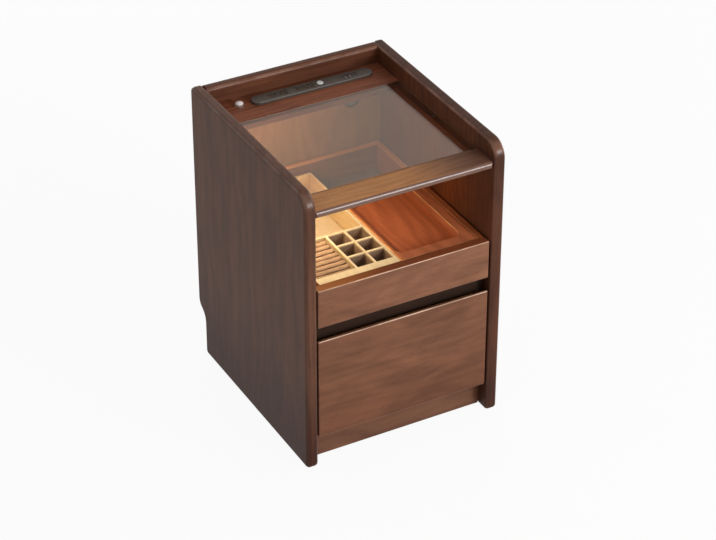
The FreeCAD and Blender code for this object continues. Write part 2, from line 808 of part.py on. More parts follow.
def drawer(name, front_bottom, front_height, box_top, front_wall_top, bevel):
    """A drawer: four walls round a bottom held in grooves, a front screwed on, and its slides."""
    box_low = front_bottom + box_lift
    wall_z = (box_low, box_top)
    inside_y = (box_front_y + box_wall, box_back_y - box_wall)
    bottom_low = box_low + drawer_groove_lift
    reach = drawer_groove_depth - groove_fit
    bottom = block(
        (-box_inner - reach, box_inner + reach),
        (inside_y[0] - reach, inside_y[1] + reach),
        (bottom_low, bottom_low + drawer_bottom_thickness),
    )
    groove = block(
        (-box_inner - drawer_groove_depth, box_inner + drawer_groove_depth),
        (inside_y[0] - drawer_groove_depth, inside_y[1] + drawer_groove_depth),
        (bottom_low - groove_fit, bottom_low + drawer_bottom_thickness + groove_fit),
    )
    on_top = at_level(box_top)
    side = eased(
        block((box_inner, box_outer), (box_front_y, box_back_y), wall_z),
        box_top_radius,
        lambda edge: on_top(edge) and edge.BoundBox.YLength > edge.BoundBox.XLength,
    ).cut(groove)
    cross_walls = []
    for y, top in (((box_front_y, inside_y[0]), front_wall_top), ((inside_y[1], box_back_y), box_top)):
        wall = block((-box_inner, box_inner), y, (box_low, top))
        long_edges = [edge for edge in wall.Edges if edge.BoundBox.XLength > edge.BoundBox.YLength]
        wall = wall.makeFillet(box_top_radius, [edge for edge in long_edges if at_level(top)(edge)])
        cross_walls.append(wall.cut(groove))
    front = drawer_front(front_bottom, front_height, bevel)
    front_seats = [
        V(x, inside_y[0], z)
        for x in along((-box_inner, box_inner), front_screw_x_shares)
        for z in along(wall_z, front_screw_z_shares)
    ]
    front_holes = [countersunk(seat, forward, front_screw_length, hole_fit) for seat in front_seats]
    runner_screw_x = inner_half - runner_in - slide_steel - pan_head_radius - hole_fit
    runner_seats = [V(runner_screw_x, y, box_low - slide_steel) for y in along(slide_y, slide_screw_shares)]
    runner_holes = [pan_hole(seat, up, pan_screw_length) for seat in runner_seats]
    runner_screws = [pan_head(seat, up, pan_screw_length) for seat in runner_seats]
    slide_sections(name, box_low - slide_height)
    side = side.cut(runner_holes)
    rails = nodes[name + "_drawer_rails"]
    nodes[name + "_drawer_rails"] = rails.cut(runner_holes + [mirrored(hole) for hole in runner_holes])
    nodes[name + "_drawer_front"] = front.cut(front_holes)
    nodes[name + "_box_front"] = cross_walls[0].cut(front_holes)
    nodes[name + "_box_right"] = side
    nodes[name + "_box_left"] = mirrored(side)
    nodes[name + "_box_back"] = cross_walls[1]
    nodes[name + "_box_bottom"] = bottom
    nodes[name + "_drawer_screws"] = group(
        [countersunk(seat, forward, front_screw_length) for seat in front_seats]
        + runner_screws
        + [mirrored(screw) for screw in runner_screws]
    )


upper_box_low_z = upper_front_bottom + box_lift
grip_bevel = front_thickness - grip_land
insert_top = upper_front_top_z - organizer_top_gap
rim_z = (insert_top - insert_rim_height, insert_top)
drawer("lower", lower_front_bottom, lower_front_height, lower_box_top_z, lower_box_top_z, grip_bevel)
drawer("upper", upper_front_bottom, upper_front_height, upper_front_top_z, rim_z[0] - groove_fit, 0)

# Screws that hold the cabinet members to the side panels
seats = {
    "lower": flange_seats(lower_box_low_z - slide_height),
    "upper": flange_seats(upper_box_low_z - slide_height),
}
flange_screws = []
for name, places in seats.items():
    screws = [pan_head(seat, rightward, pan_screw_length) for seat in places]
    holes = [pan_hole(seat, rightward, pan_screw_length) for seat in places]
    holes += [mirrored(hole) for hole in holes]
    flange_screws += screws + [mirrored(screw) for screw in screws]
    for cut_node in (name + "_cabinet_rails", "left_side_panel", "right_side_panel"):
        nodes[cut_node] = nodes[cut_node].cut(holes)
nodes["rail_screws"] = group(flange_screws)

# Organizer: a base with walls and dividers, a rim over the box front, felt in its cells and rolls for rings
drawer_floor_z = upper_box_low_z + drawer_groove_lift + drawer_bottom_thickness
insert_front_y = box_front_y + box_wall + organizer_play
organizer_y = (insert_front_y, insert_front_y + organizer_length)
rim_y = (box_front_y + organizer_play, insert_front_y)
organizer_x = (-box_inner + organizer_play, organizer_middle_offset)
base_top_z = drawer_floor_z + organizer_base_thickness
wall_z = (base_top_z, insert_top)
inside_x = (organizer_x[0] + organizer_wall, organizer_x[1] - organizer_wall)
inside_y = (organizer_y[0] + organizer_wall, organizer_y[1] - organizer_wall)
ring_x = (inside_x[0], inside_x[0] + ring_column_width)
cells_x0 = ring_x[1] + organizer_wall
cell_width = (inside_x[1] - cells_x0 - (cell_column_count - 1) * organizer_wall) / cell_column_count
cell_lefts = [cells_x0 + i * (cell_width + organizer_wall) for i in range(cell_column_count)]
cell_columns = [(x, x + cell_width) for x in cell_lefts]
cell_fronts = [inside_y[0] + i * (cell_depth + organizer_wall) for i in range(cell_row_count)]
cell_rows = [(y, y + cell_depth) for y in cell_fronts]
partition_y = (cell_rows[-1][1], cell_rows[-1][1] + organizer_wall)
nodes["organizer_base"] = block(organizer_x, organizer_y, (drawer_floor_z, base_top_z))
nodes["organizer_walls"] = group(
    [
        block((organizer_x[0], inside_x[0]), organizer_y, wall_z),
        block((inside_x[1], organizer_x[1]), organizer_y, wall_z),
        joined([block(inside_x, (organizer_y[0], inside_y[0]), wall_z), block(organizer_x, rim_y, rim_z)]),
        block(inside_x, (inside_y[1], organizer_y[1]), wall_z),
    ]
)
dividers = [
    block(inside_x, partition_y, wall_z),
    block((ring_x[1], cells_x0), (inside_y[0], partition_y[0]), wall_z),
]
for left, right in zip(cell_columns, cell_columns[1:]):
    dividers.append(block((left[1], right[0]), (inside_y[0], partition_y[0]), wall_z))
for column in cell_columns:
    for near, far in zip(cell_rows, cell_rows[1:]):
        dividers.append(block(column, (near[1], far[0]), wall_z))
nodes["organizer_dividers"] = group(dividers)
lined = [(column, row) for column in cell_columns for row in cell_rows]
lined.append((inside_x, (partition_y[1], inside_y[1])))
nodes["cell_liners"] = group(
    [
        block(
            (x[0] + groove_fit, x[1] - groove_fit),
            (y[0] + groove_fit, y[1] - groove_fit),
            (base_top_z, base_top_z + liner_thickness),
        )
        for x, y in lined
    ]
)

# Ring rolls: padded bars with a half-round crown and soft ends, side by side across the left column
roll_pitch = (partition_y[0] - inside_y[0]) / ring_roll_count
roll_radius = (roll_pitch - ring_roll_gap) / 2
roll_x = (ring_x[0] + ring_roll_gap, ring_x[1] - ring_roll_gap)
crown_z = base_top_z + ring_roll_height - roll_radius


def ring_roll(middle):
    """One roll: an upright pad whose top is half round, drawn in at its ends."""
    pad = block(roll_x, (middle - roll_radius, middle + roll_radius), (base_top_z, crown_z))
    crown = rod(V(roll_x[0], middle, crown_z), rightward, roll_radius, roll_x[1] - roll_x[0])
    return eased(
        joined([pad, crown]),
        ring_roll_end_radius,
        lambda edge: edge.BoundBox.XLength < tolerance and edge.BoundBox.ZMax > base_top_z + tolerance,
    )


nodes["ring_rolls"] = group([ring_roll(inside_y[0] + (i + 0.5) * roll_pitch) for i in range(ring_roll_count)])

# Tray: a frame with round inner corners, a rim over the box front and a floor let down onto its lip
tray_x = (organizer_middle_offset + tray_gap, box_inner - organizer_play)
tray_y = (insert_front_y, insert_front_y + tray_length)
tray_floor_z = (insert_top - tray_depth - tray_floor_thickness, insert_top - tray_depth)
recess_x = (tray_x[0] + tray_left_rim, tray_x[1] - tray_right_rim)
recess_y = (tray_y[0] + tray_rim, tray_y[1] - tray_rim)
recess = rounded_plate(recess_x, recess_y, (tray_floor_z[0], insert_top + overrun), tray_corner_radius)
hollow = rounded_plate(
    (recess_x[0] + tray_lip, recess_x[1] - tray_lip),
    (recess_y[0] + tray_lip, recess_y[1] - tray_lip),
    (drawer_floor_z - overrun, tray_floor_z[0] + overrun),
    tray_corner_radius - tray_lip,
)
frame = joined([block(tray_x, tray_y, (drawer_floor_z, insert_top)), block(tray_x, rim_y, rim_z)])
frame = frame.cut([recess, hollow])
nodes["tray_frame"] = eased(frame, tray_edge_radius, at_level(insert_top))
nodes["tray_floor"] = rounded_plate(
    (recess_x[0] + groove_fit, recess_x[1] - groove_fit),
    (recess_y[0] + groove_fit, recess_y[1] - groove_fit),
    tray_floor_z,
    tray_corner_radius - groove_fit,
)

os.makedirs("parts", exist_ok=True)
for name, shape in nodes.items():
    shape.exportStep("parts/" + name + ".step")
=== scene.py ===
import math
import bmesh
import bpy
import numpy as np
from mathutils import Matrix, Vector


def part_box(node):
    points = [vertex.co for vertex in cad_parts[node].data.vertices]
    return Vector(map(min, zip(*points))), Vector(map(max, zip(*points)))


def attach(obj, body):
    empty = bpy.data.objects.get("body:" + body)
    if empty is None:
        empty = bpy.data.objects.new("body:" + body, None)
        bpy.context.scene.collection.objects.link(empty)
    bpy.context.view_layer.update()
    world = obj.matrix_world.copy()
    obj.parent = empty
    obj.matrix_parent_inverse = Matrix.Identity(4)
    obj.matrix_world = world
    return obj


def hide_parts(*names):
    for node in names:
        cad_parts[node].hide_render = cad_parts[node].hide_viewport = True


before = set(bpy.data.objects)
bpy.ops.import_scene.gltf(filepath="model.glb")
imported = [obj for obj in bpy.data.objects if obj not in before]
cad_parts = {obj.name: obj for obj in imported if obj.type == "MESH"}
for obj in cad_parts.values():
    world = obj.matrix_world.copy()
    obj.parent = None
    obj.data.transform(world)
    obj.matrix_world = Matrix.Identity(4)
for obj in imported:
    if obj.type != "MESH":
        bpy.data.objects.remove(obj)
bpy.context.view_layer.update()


# Side panels
# Two boards of dark stained walnut, sawn to outline with a notch for the skirting at the lower back, rounded on every
# edge, sanded and lacquered. The rails and shelves are dowelled between them.
def tone(red, green, blue):
    """Linear colour of a tone from 0 to 255: (c/255 + 0.055)/1.055 to the power 2.4, or c/255/12.92 near black."""
    share = np.array([red, green, blue]) / 255
    return (*np.where(share > 0.04045, ((share + 0.055) / 1.055) ** 2.4, share / 12.92).tolist(), 1.0)


def feed(tree, socket, value):
    """Joins a socket to another node's output, or sets it to a plain value."""
    if isinstance(value, bpy.types.NodeSocket):
        tree.links.new(value, socket)
    else:
        socket.default_value = value


def worked(tree, operation, *values):
    """One step of arithmetic in a node tree."""
    node = tree.nodes.new("ShaderNodeMath")
    node.operation = operation
    for socket, value in zip(node.inputs, values):
        feed(tree, socket, value)
    return node.outputs[0]


def ramped(tree, value, low, high):
    """A value eased from 0 at low to 1 at high: 3t^2 - 2t^3."""
    node = tree.nodes.new("ShaderNodeMapRange")
    node.interpolation_type = "SMOOTHSTEP"
    feed(tree, node.inputs["Value"], value)
    node.inputs["From Min"].default_value = low
    node.inputs["From Max"].default_value = high
    return node.outputs["Result"]


def blended(tree, share, first, second, how="MIX"):
    """Two colours mixed by a share."""
    node = tree.nodes.new("ShaderNodeMix")
    node.data_type = "RGBA"
    node.blend_type = how
    feed(tree, node.inputs["Factor"], share)
    feed(tree, node.inputs["A"], first)
    feed(tree, node.inputs["B"], second)
    return node.outputs["Result"]


def split(tree, place):
    """The three parts of a place or direction."""
    node = tree.nodes.new("ShaderNodeSeparateXYZ")
    feed(tree, node.inputs[0], place)
    return node.outputs


def clouded(tree, place, stretch, detail, warp=0.0):
    """Noise from 0 to 1 whose grain is 1/stretch metres long on each axis."""
    sized = tree.nodes.new("ShaderNodeVectorMath")
    sized.operation = "MULTIPLY"
    feed(tree, sized.inputs[0], place)
    feed(tree, sized.inputs[1], stretch)
    noise = tree.nodes.new("ShaderNodeTexNoise")
    noise.inputs["Scale"].default_value = 1.0
    noise.inputs["Detail"].default_value = detail
    noise.inputs["Distortion"].default_value = warp
    tree.links.new(sized.outputs[0], noise.inputs["Vector"])
    return noise.outputs[0]


def grouped(name, takes, gives):
    """A shader node group with its named inputs and outputs, and the nodes that carry them."""
    group = bpy.data.node_groups.new(name, "ShaderNodeTree")
    for label, kind, value in takes:
        group.interface.new_socket(label, in_out="INPUT", socket_type=kind).default_value = value
    for label, kind in gives:
        group.interface.new_socket(label, in_out="OUTPUT", socket_type=kind)
    return group, group.nodes.new("NodeGroupInput").outputs, group.nodes.new("NodeGroupOutput").inputs


pith_beside, pith_below, ring_bend, ring_turns, ring_wander = 0.27, 0.13, 0.16, 430.0, 13.0


def wood_figure_group():
    """The figure of a board, X along the grain. Rings are sin(k r) of the distance r from a far pith, bent by slow
    noise; long streaks, broad smudges, fine fibres and short dark pores lie over them."""
    group, takes, gives = grouped(
        "wood_figure",
        [("Place", "NodeSocketVector", (0, 0, 0)), ("Pale", "NodeSocketColor", (1, 1, 1, 1)),
         ("Deep", "NodeSocketColor", (0, 0, 0, 1)), ("Pore", "NodeSocketColor", (0, 0, 0, 1)),
         ("Rings", "NodeSocketFloat", 0.3), ("Streaks", "NodeSocketFloat", 0.5), ("Smudges", "NodeSocketFloat", 0.5),
         ("Fibres", "NodeSocketFloat", 0.3), ("Pores", "NodeSocketFloat", 0.5)],
        [("Tone", "NodeSocketColor"), ("Relief", "NodeSocketFloat"), ("Dull", "NodeSocketFloat")],
    )
    place = takes["Place"]
    apart = split(group, place)
    bend = clouded(group, place, (1.8, 6, 6), 2.0)
    wander = clouded(group, place, (6, 26, 26), 3.0)
    bent = worked(group, "ADD", apart["Y"], worked(group, "MULTIPLY", bend, ring_bend))
    across = worked(group, "POWER", worked(group, "ADD", bent, pith_beside), 2.0)
    through = worked(group, "POWER", worked(group, "ADD", apart["Z"], pith_below), 2.0)
    far = worked(group, "MULTIPLY", worked(group, "SQRT", worked(group, "ADD", across, through)), ring_turns)
    turns = worked(group, "ADD", far, worked(group, "MULTIPLY", wander, ring_wander))
    ring = worked(group, "MULTIPLY_ADD", worked(group, "SINE", turns), 0.5, 0.5)
    streak = clouded(group, place, (6.0, 150, 150), 4.0)
    smudge = clouded(group, place, (9.0, 24, 24), 3.0, 0.8)
    fibre = clouded(group, place, (26, 1300, 1300), 3.0)
    pore = ramped(group, clouded(group, place, (75, 2100, 2100), 2.0), 0.60, 0.72)
    share = 0.5
    for part, amount in ((ring, "Rings"), (streak, "Streaks"), (smudge, "Smudges"), (fibre, "Fibres")):
        share = worked(group, "MULTIPLY_ADD", worked(group, "SUBTRACT", part, 0.5), takes[amount], share)
    clear = group.nodes.new("ShaderNodeClamp")
    group.links.new(share, clear.inputs["Value"])
    body = blended(group, clear.outputs[0], takes["Deep"], takes["Pale"])
    specked = worked(group, "MULTIPLY", pore, takes["Pores"])
    group.links.new(blended(group, specked, body, takes["Pore"]), gives["Tone"])
    group.links.new(worked(group, "SUBTRACT", worked(group, "MULTIPLY", fibre, 0.35), specked), gives["Relief"])
    group.links.new(worked(group, "MULTIPLY_ADD", streak, 0.6, specked), gives["Dull"])
    return group


def edge_wear_and_highlight_group():
    """Wear from hands on a rounded edge, together with painted highlight along it: 1 - the largest of |nx|, |ny| and
    |nz|, broken up by noise. Upper edges, which catch the painted highlights, get most."""
    group, takes, gives = grouped(
        "edge_wear_and_highlight",
        [("Place", "NodeSocketVector", (0, 0, 0)), ("Facing", "NodeSocketVector", (0, 0, 1))],
        [("Wear And Highlight", "NodeSocketFloat")],
    )
    facing = split(group, takes["Facing"])
    sizes = [worked(group, "ABSOLUTE", side) for side in facing]
    largest = worked(group, "MAXIMUM", worked(group, "MAXIMUM", sizes[0], sizes[1]), sizes[2])
    turned = ramped(group, worked(group, "SUBTRACT", 1.0, largest), 0.01, 0.20)
    broken = ramped(group, clouded(group, takes["Place"], (28, 28, 28), 4.0), 0.36, 0.66)
    upper = worked(group, "MULTIPLY_ADD", ramped(group, facing["Z"], 0.05, 0.45), 0.75, 0.25)
    patchy = worked(group, "MULTIPLY_ADD", broken, 0.6, 0.4)
    group.links.new(worked(group, "MULTIPLY", turned, worked(group, "MULTIPLY", upper, patchy)), gives["Wear And Highlight"])
    return group


wood_figure = wood_figure_group()
edge_wear_and_highlight = edge_wear_and_highlight_group()
grain_up = (0, math.pi / 2, 0)
grain_across = (0, 0, 0)
grain_back = (0, 0, -math.pi / 2)


def started(name):
    """A new material with its tree, shader and texture coordinates."""
    material = bpy.data.materials.new(name)
    material.use_nodes = True
    tree = material.node_tree
    return material, tree, tree.nodes["Principled BSDF"], tree.nodes.new("ShaderNodeTexCoord").outputs


def placed(tree, group, **values):
    """A node group set down in a material, each input joined or set."""
    node = tree.nodes.new("ShaderNodeGroup")
    node.node_tree = group
    for label, value in values.items():
        feed(tree, node.inputs[label], value)
    return node.outputs


def roughened(tree, shader, height, distance, strength=0.6):
    """Relief of a height in metres on a shader's normal."""
    bump = tree.nodes.new("ShaderNodeBump")
    bump.inputs["Strength"].default_value = strength
    bump.inputs["Distance"].default_value = distance
    tree.links.new(height, bump.inputs["Height"])
    tree.links.new(bump.outputs["Normal"], shader.inputs["Normal"])


wood_relief, edge_polish, coat_rough = 0.00012, 0.6, 0.22


def wooden(name, turn, start, tones, figure, rough, gloss=0.2, wear_and_highlight=0.35, wear_and_highlight_tone=None, where=None, tint=None,
           polished=None):
    """A lacquered wood of three tones: pale, deep and pore. Turn lays the grain along an axis of the cabinet, start
    picks a spot in the log, and figure is how strongly rings, streaks, smudges, fibres and pores show. Rounded edges
    take a paler tone, as wear and as painted highlight. Tint, a colour or a function that makes one, multiplies the
    board's colour where a mask says; most tints here are painted light or painted shade. The coat shines on the marked
    edges, or where polished says."""
    material, tree, shader, spot = started(name)
    laid = tree.nodes.new("ShaderNodeMapping")
    laid.inputs["Rotation"].default_value = turn
    laid.inputs["Location"].default_value = start
    tree.links.new(spot["Object"], laid.inputs["Vector"])
    pale, deep, pore = tones
    rings, streaks, smudges, fibres, pores = figure
    wood = placed(tree, wood_figure, Place=laid.outputs["Vector"], Pale=pale, Deep=deep, Pore=pore, Rings=rings,
                  Streaks=streaks, Smudges=smudges, Fibres=fibres, Pores=pores)
    edge_marks = placed(tree, edge_wear_and_highlight, Place=spot["Object"], Facing=spot["Normal"])
    wear_and_highlight_share = worked(tree, "MULTIPLY", edge_marks["Wear And Highlight"], wear_and_highlight)
    body = blended(tree, wear_and_highlight_share, wood["Tone"], wear_and_highlight_tone or pale)
    if where:
        region_tint = tint(tree, spot) if callable(tint) else tint
        body = blended(tree, where(tree, spot), body, blended(tree, 1.0, body, region_tint, "MULTIPLY"))
    tree.links.new(body, shader.inputs["Base Color"])
    dull = worked(tree, "MULTIPLY_ADD", wood["Dull"], 0.14, rough - 0.05)
    tree.links.new(worked(tree, "MULTIPLY_ADD", wear_and_highlight_share, -0.25, dull), shader.inputs["Roughness"])
    shine = polished(tree, spot) if polished else worked(tree, "MULTIPLY", edge_marks["Wear And Highlight"], edge_polish)
    tree.links.new(shine, shader.inputs["Coat Weight"])
    shader.inputs["Coat Roughness"].default_value = coat_rough
    roughened(tree, shader, wood["Relief"], wood_relief)
    shader.inputs["Specular IOR Level"].default_value = gloss
    return material


def dressed(material, *names):
    """Gives CAD nodes a material."""
    for name in names:
        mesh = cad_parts[name].data
        mesh.materials.clear()
        mesh.materials.append(material)


def along(space, axis, low, high):
    """A mask from one part of the place or of the normal: 0 at low, eased to 1 at high."""
    return lambda tree, spot: ramped(tree, split(tree, spot[space])[axis], low, high)


# Painted shade: the left panel's colour runs darker towards its foot, as shade near the floor. Its rounded edges take
# a paler tone, as wear and as painted highlight.
foot_shade = along("Object", "Z", 0.2, 0.01)
panel_figure = (0.3, 1.3, 1.3, 0.8, 0.5)
left_tones = (tone(112, 74, 55), tone(81, 51, 38), tone(40, 25, 18))
left_finish = wooden("left_walnut", grain_up, (0.3, 0.1, 0.7), left_tones, panel_figure, 0.5, gloss=0.15,
                     wear_and_highlight_tone=tone(130, 98, 82), where=foot_shade, tint=tone(180, 150, 134))
dressed(left_finish, "left_side_panel")
outer_face, inner_face = along("Normal", "X", 0.75, 0.98), along("Normal", "X", -0.8, -0.98)
behind_edge, below_glass = along("Object", "Y", -0.17, -0.04), along("Object", "Z", 0.455, 0.44)
inner_glow_tint, outer_unshaded_tint = (1.6, 1.17, 0.71, 1.0), (1.35, 1.49, 1.5, 1.0)


def both_faces(tree, spot):
    """1 on the outer face, and on the inner face behind its front edge and below the glass: the larger of the outer
    mask and the product of the other three."""
    covered = worked(tree, "MULTIPLY", behind_edge(tree, spot), below_glass(tree, spot))
    inner = worked(tree, "MULTIPLY", inner_face(tree, spot), covered)
    return worked(tree, "MAXIMUM", outer_face(tree, spot), inner)


def face_light_tint(tree, spot):
    """Painted light on the inner face below the glass, warmer and redder where the light bar shines. A lighter, greyer
    tint on the outer face takes back the painted shade of the darker base tones.
    """
    return blended(tree, outer_face(tree, spot), inner_glow_tint, outer_unshaded_tint)


# Painted shade: the right panel's tones are darker than the left panel's, as the shade on its front edge and on its
# inner face above the glass. The outer face is tinted back up, and the inner face below the glass is tinted warm as
# painted light from the light bar. Its rounded edges take a paler tone, as wear and as painted highlight.
right_shaded_tones = (tone(92, 56, 40), tone(64, 37, 27), tone(34, 20, 14))
right_finish = wooden("right_walnut", grain_up, (0.9, 0.5, 0.2), right_shaded_tones, panel_figure, 0.5, gloss=0.12, wear_and_highlight=0.7,
                      wear_and_highlight_tone=tone(138, 92, 68), where=both_faces, tint=face_light_tint)
dressed(right_finish, "right_side_panel")

# Foot glides
# Four hard rubber glides, moulded in one piece each and nailed under the side panels, so that the panels stand clear
# of a damp or rough floor.
fine_grit = (900, 900, 900)


def grain_of_mould_group():
    """A moulded or cast skin: fine grit over a broad, faint unevenness."""
    group, takes, gives = grouped(
        "moulded_skin",
        [("Place", "NodeSocketVector", (0, 0, 0)), ("Grit", "NodeSocketVector", fine_grit),
         ("Mottle", "NodeSocketFloat", 0.1), ("Colour", "NodeSocketColor", (1, 1, 1, 1))],
        [("Tone", "NodeSocketColor"), ("Fine", "NodeSocketFloat")],
    )
    fine = clouded(group, takes["Place"], takes["Grit"], 3.0)
    broad = clouded(group, takes["Place"], (24, 24, 24), 3.0)
    both = worked(group, "ADD", worked(group, "MULTIPLY", broad, 1.4), worked(group, "MULTIPLY", fine, 0.6))
    shade = worked(group, "MULTIPLY_ADD", worked(group, "SUBTRACT", both, 1.0), takes["Mottle"], 1.0)
    group.links.new(blended(group, 1.0, takes["Colour"], shade, "MULTIPLY"), gives["Tone"])
    group.links.new(fine, gives["Fine"])
    return group


moulded_skin = grain_of_mould_group()


def moulded(name, colour, rough, metal=0.0, coat=0.0, grit=fine_grit, mottle=0.25, relief=0.00004, gloss=0.5):
    """A moulded, cast or rolled finish whose grit shows in colour, roughness and relief."""
    material, tree, shader, spot = started(name)
    skin = placed(tree, moulded_skin, Place=spot["Object"], Grit=grit, Mottle=mottle, Colour=colour)
    tree.links.new(skin["Tone"], shader.inputs["Base Color"])
    tree.links.new(worked(tree, "MULTIPLY_ADD", skin["Fine"], 0.16, rough - 0.08), shader.inputs["Roughness"])
    roughened(tree, shader, skin["Fine"], relief, 0.5)
    shader.inputs["Metallic"].default_value = metal
    shader.inputs["Coat Weight"].default_value = coat
    shader.inputs["Specular IOR Level"].default_value = gloss
    return material


rubber_finish = moulded("glide_rubber", tone(60, 54, 50), 0.8, mottle=0.4, relief=0.0001)
dressed(rubber_finish, "foot_glides")

# Bottom panel, rear stretcher and dowels
# Boards of a plainer wood that tie the side panels together near the floor, sealed but not polished. Beech dowels are
# glued into both members of every joint.
carcass_tones = (tone(140, 92, 62), tone(100, 62, 40), tone(62, 38, 26))
carcass_finish = wooden("carcass_wood", grain_across, (3.2, 0.2, 1.4), carcass_tones, (0.3, 0.7, 0.5, 0.5, 0.4), 0.55)
dressed(carcass_finish, "bottom_panel", "rear_stretcher", "carcass_dowels")

# Plinth and divider rail
# Two walnut boards across the front, with the grain running from side to side. The plinth is set back under the lower
# drawer, and the divider closes the finger gap between the drawers. The divider is coloured nearly black as painted
# shade in the gap.
front_figure = (0.12, 0.55, 1.7, 0.6, 0.5)
plinth_tones = (tone(126, 84, 61), tone(89, 55, 39), tone(44, 26, 19))
plinth_finish = wooden("plinth_walnut", grain_across, (5.1, 0.6, 0.2), plinth_tones, front_figure, 0.46)
dressed(plinth_finish, "plinth")
divider_tones = (tone(66, 47, 38), tone(48, 34, 27), tone(26, 18, 14))
divider_finish = wooden("divider_shade", grain_across, (4.3, 0.9, 0.6), divider_tones, front_figure, 0.55, gloss=0.1)
dressed(divider_finish, "divider_rail")

# Back panel
# A thin veneered board with upright grain that slides into grooves in the sides and under the ledge, with three screws
# into the rear edge of the bottom panel.
board_tones = (tone(162, 126, 90), tone(130, 97, 67), tone(88, 62, 42))
board_finish = wooden("thin_board", grain_up, (4.4, 1.2, 0.3), board_tones, (0.3, 0.7, 0.7, 0.4, 0.35), 0.5, wear_and_highlight=0.1)
dressed(board_finish, "back_panel")
recess_half, recess_reach, recess_slope, recess_sink = 0.0004, 0.0019, 0.0003, 0.0008


def screwed(name, middles_x, middles_z):
    """Zinc-plated screw heads seen along Y. A cross recess at each pair of X and Z is sunk as a bump and coloured dark
    as painted shade: it lies where the nearer of the two distances is below its half width and the farther one below
    its reach."""
    material, tree, shader, spot = started(name)
    skin = placed(tree, moulded_skin, Place=spot["Object"], Grit=(700, 700, 700), Mottle=0.3,
                  Colour=tone(196, 194, 186))
    apart = split(tree, spot["Object"])
    near = {}
    for axis, middles in (("X", middles_x), ("Z", middles_z)):
        near[axis] = 1.0
        for middle in middles:
            off = worked(tree, "ABSOLUTE", worked(tree, "SUBTRACT", apart[axis], middle))
            near[axis] = worked(tree, "MINIMUM", near[axis], off)
    nearer = worked(tree, "MINIMUM", near["X"], near["Z"])
    farther = worked(tree, "MAXIMUM", near["X"], near["Z"])
    arm = ramped(tree, nearer, recess_half + recess_slope, recess_half)
    reach = ramped(tree, farther, recess_reach + recess_slope, recess_reach)
    sunk = worked(tree, "MULTIPLY", arm, reach)
    tree.links.new(blended(tree, sunk, skin["Tone"], tone(34, 32, 30)), shader.inputs["Base Color"])
    tree.links.new(worked(tree, "MULTIPLY_ADD", sunk, 0.4, 0.3), shader.inputs["Roughness"])
    height = worked(tree, "SUBTRACT", worked(tree, "MULTIPLY", skin["Fine"], 0.05), sunk)
    roughened(tree, shader, height, recess_sink, 1.0)
    shader.inputs["Metallic"].default_value = 1.0
    return material


back_screw_x, back_screw_z = (-0.124, 0.0, 0.124), (0.0445,)
dressed(screwed("back_screws", back_screw_x, back_screw_z), "back_panel_screws")

# Cable grommet
# A black sleeve with a flange on each face of the back panel, that lines the hole for a mains lead. It is moulded in
# nylon in two halves and pressed together through the panel.
black_plastic = moulded("black_plastic", tone(46, 43, 41), 0.55)
dressed(black_plastic, "cable_grommet")

# Rear ledge and glass battens
# A walnut shelf with a lip for the glass, cut out for the socket strip and the light switch, and two darker battens
# fixed to the sides under the edges of the glass.
ledge_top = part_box("rear_ledge")[1][2]
# Painted shade: the lip of the ledge just under the glass is tinted darker and greyer, as the shade where the glass
# edge meets it.
shade_under_glass = along("Object", "Z", ledge_top - 0.0005, ledge_top - 0.003)
top_figure = (0.3, 1.2, 1.6, 0.6, 0.5)
ledge_tones = (tone(156, 92, 64), tone(108, 60, 42), tone(46, 24, 17))
ledge_finish = wooden("ledge_walnut", grain_across, (2.1, 0.9, 0.5), ledge_tones, top_figure, 0.42, gloss=0.1,
                      where=shade_under_glass, tint=tone(168, 164, 158))
dressed(ledge_finish, "rear_ledge")
batten_tones = (tone(92, 53, 36), tone(64, 35, 24), tone(34, 19, 13))
batten_finish = wooden("batten_walnut", grain_back, (1.7, 0.3, 0.9), batten_tones, panel_figure, 0.5, gloss=0.12)
dressed(batten_finish, "glass_battens")

# Back rail
# A walnut board that closes the gallery behind the ledge. Its two upper edges are rounded, and it is dowelled between
# the sides.
# Its rounded upper edges take a paler tone, as wear and as painted highlight.
back_rail_tones = (tone(112, 68, 48), tone(74, 43, 30), tone(34, 20, 14))
back_rail_finish = wooden("back_rail_walnut", grain_across, (1.3, 0.4, 0.2), back_rail_tones, top_figure, 0.46,
                          gloss=0.1, wear_and_highlight=0.6, wear_and_highlight_tone=tone(150, 104, 78))
dressed(back_rail_finish, "back_rail")

# Front rail
# A walnut rail with a full bullnose, sanded fine and given a glossier coat because hands rest there. Its upper face is
# painted golden towards the left end as painted warm light, and it goes to dark walnut on the nose and the right end.
bullnose, right_end = along("Normal", "Z", 0.97, 0.80), along("Object", "X", -0.03, 0.14)
nose_polish = 0.9


def away_from_glow(tree, spot):
    """1 on the nose and towards the right end, where the painted warm light of the upper face gives way to dark
    walnut:
    the larger of the two masks.
    """
    return worked(tree, "MAXIMUM", right_end(tree, spot), bullnose(tree, spot))


def polished_nose(tree, spot):
    """The share of coat: full on the rounded nose, none on the flat upper face."""
    return worked(tree, "MULTIPLY", bullnose(tree, spot), nose_polish)


# Painted light: the rail's pale golden tones stand for warm light on its upper face; the tint takes them down to dark
# walnut on the nose and towards the right end.
rail_tones = (tone(210, 147, 92), tone(176, 117, 69), tone(90, 54, 32))
rail_finish = wooden("rail_walnut", grain_across, (2.9, 1.7, 0.5), rail_tones, top_figure, 0.4, gloss=0.1, wear_and_highlight=0.0,
                     where=away_from_glow, tint=tone(144, 144, 181), polished=polished_nose)
dressed(rail_finish, "front_rail")

# Glass pads
# Soft brown dots of cast silicone, stuck on the lips and on the battens so that the glass neither slides nor rattles.
dressed(moulded("pad_silicone", tone(66, 50, 40), 0.5, coat=0.2), "glass_pads")


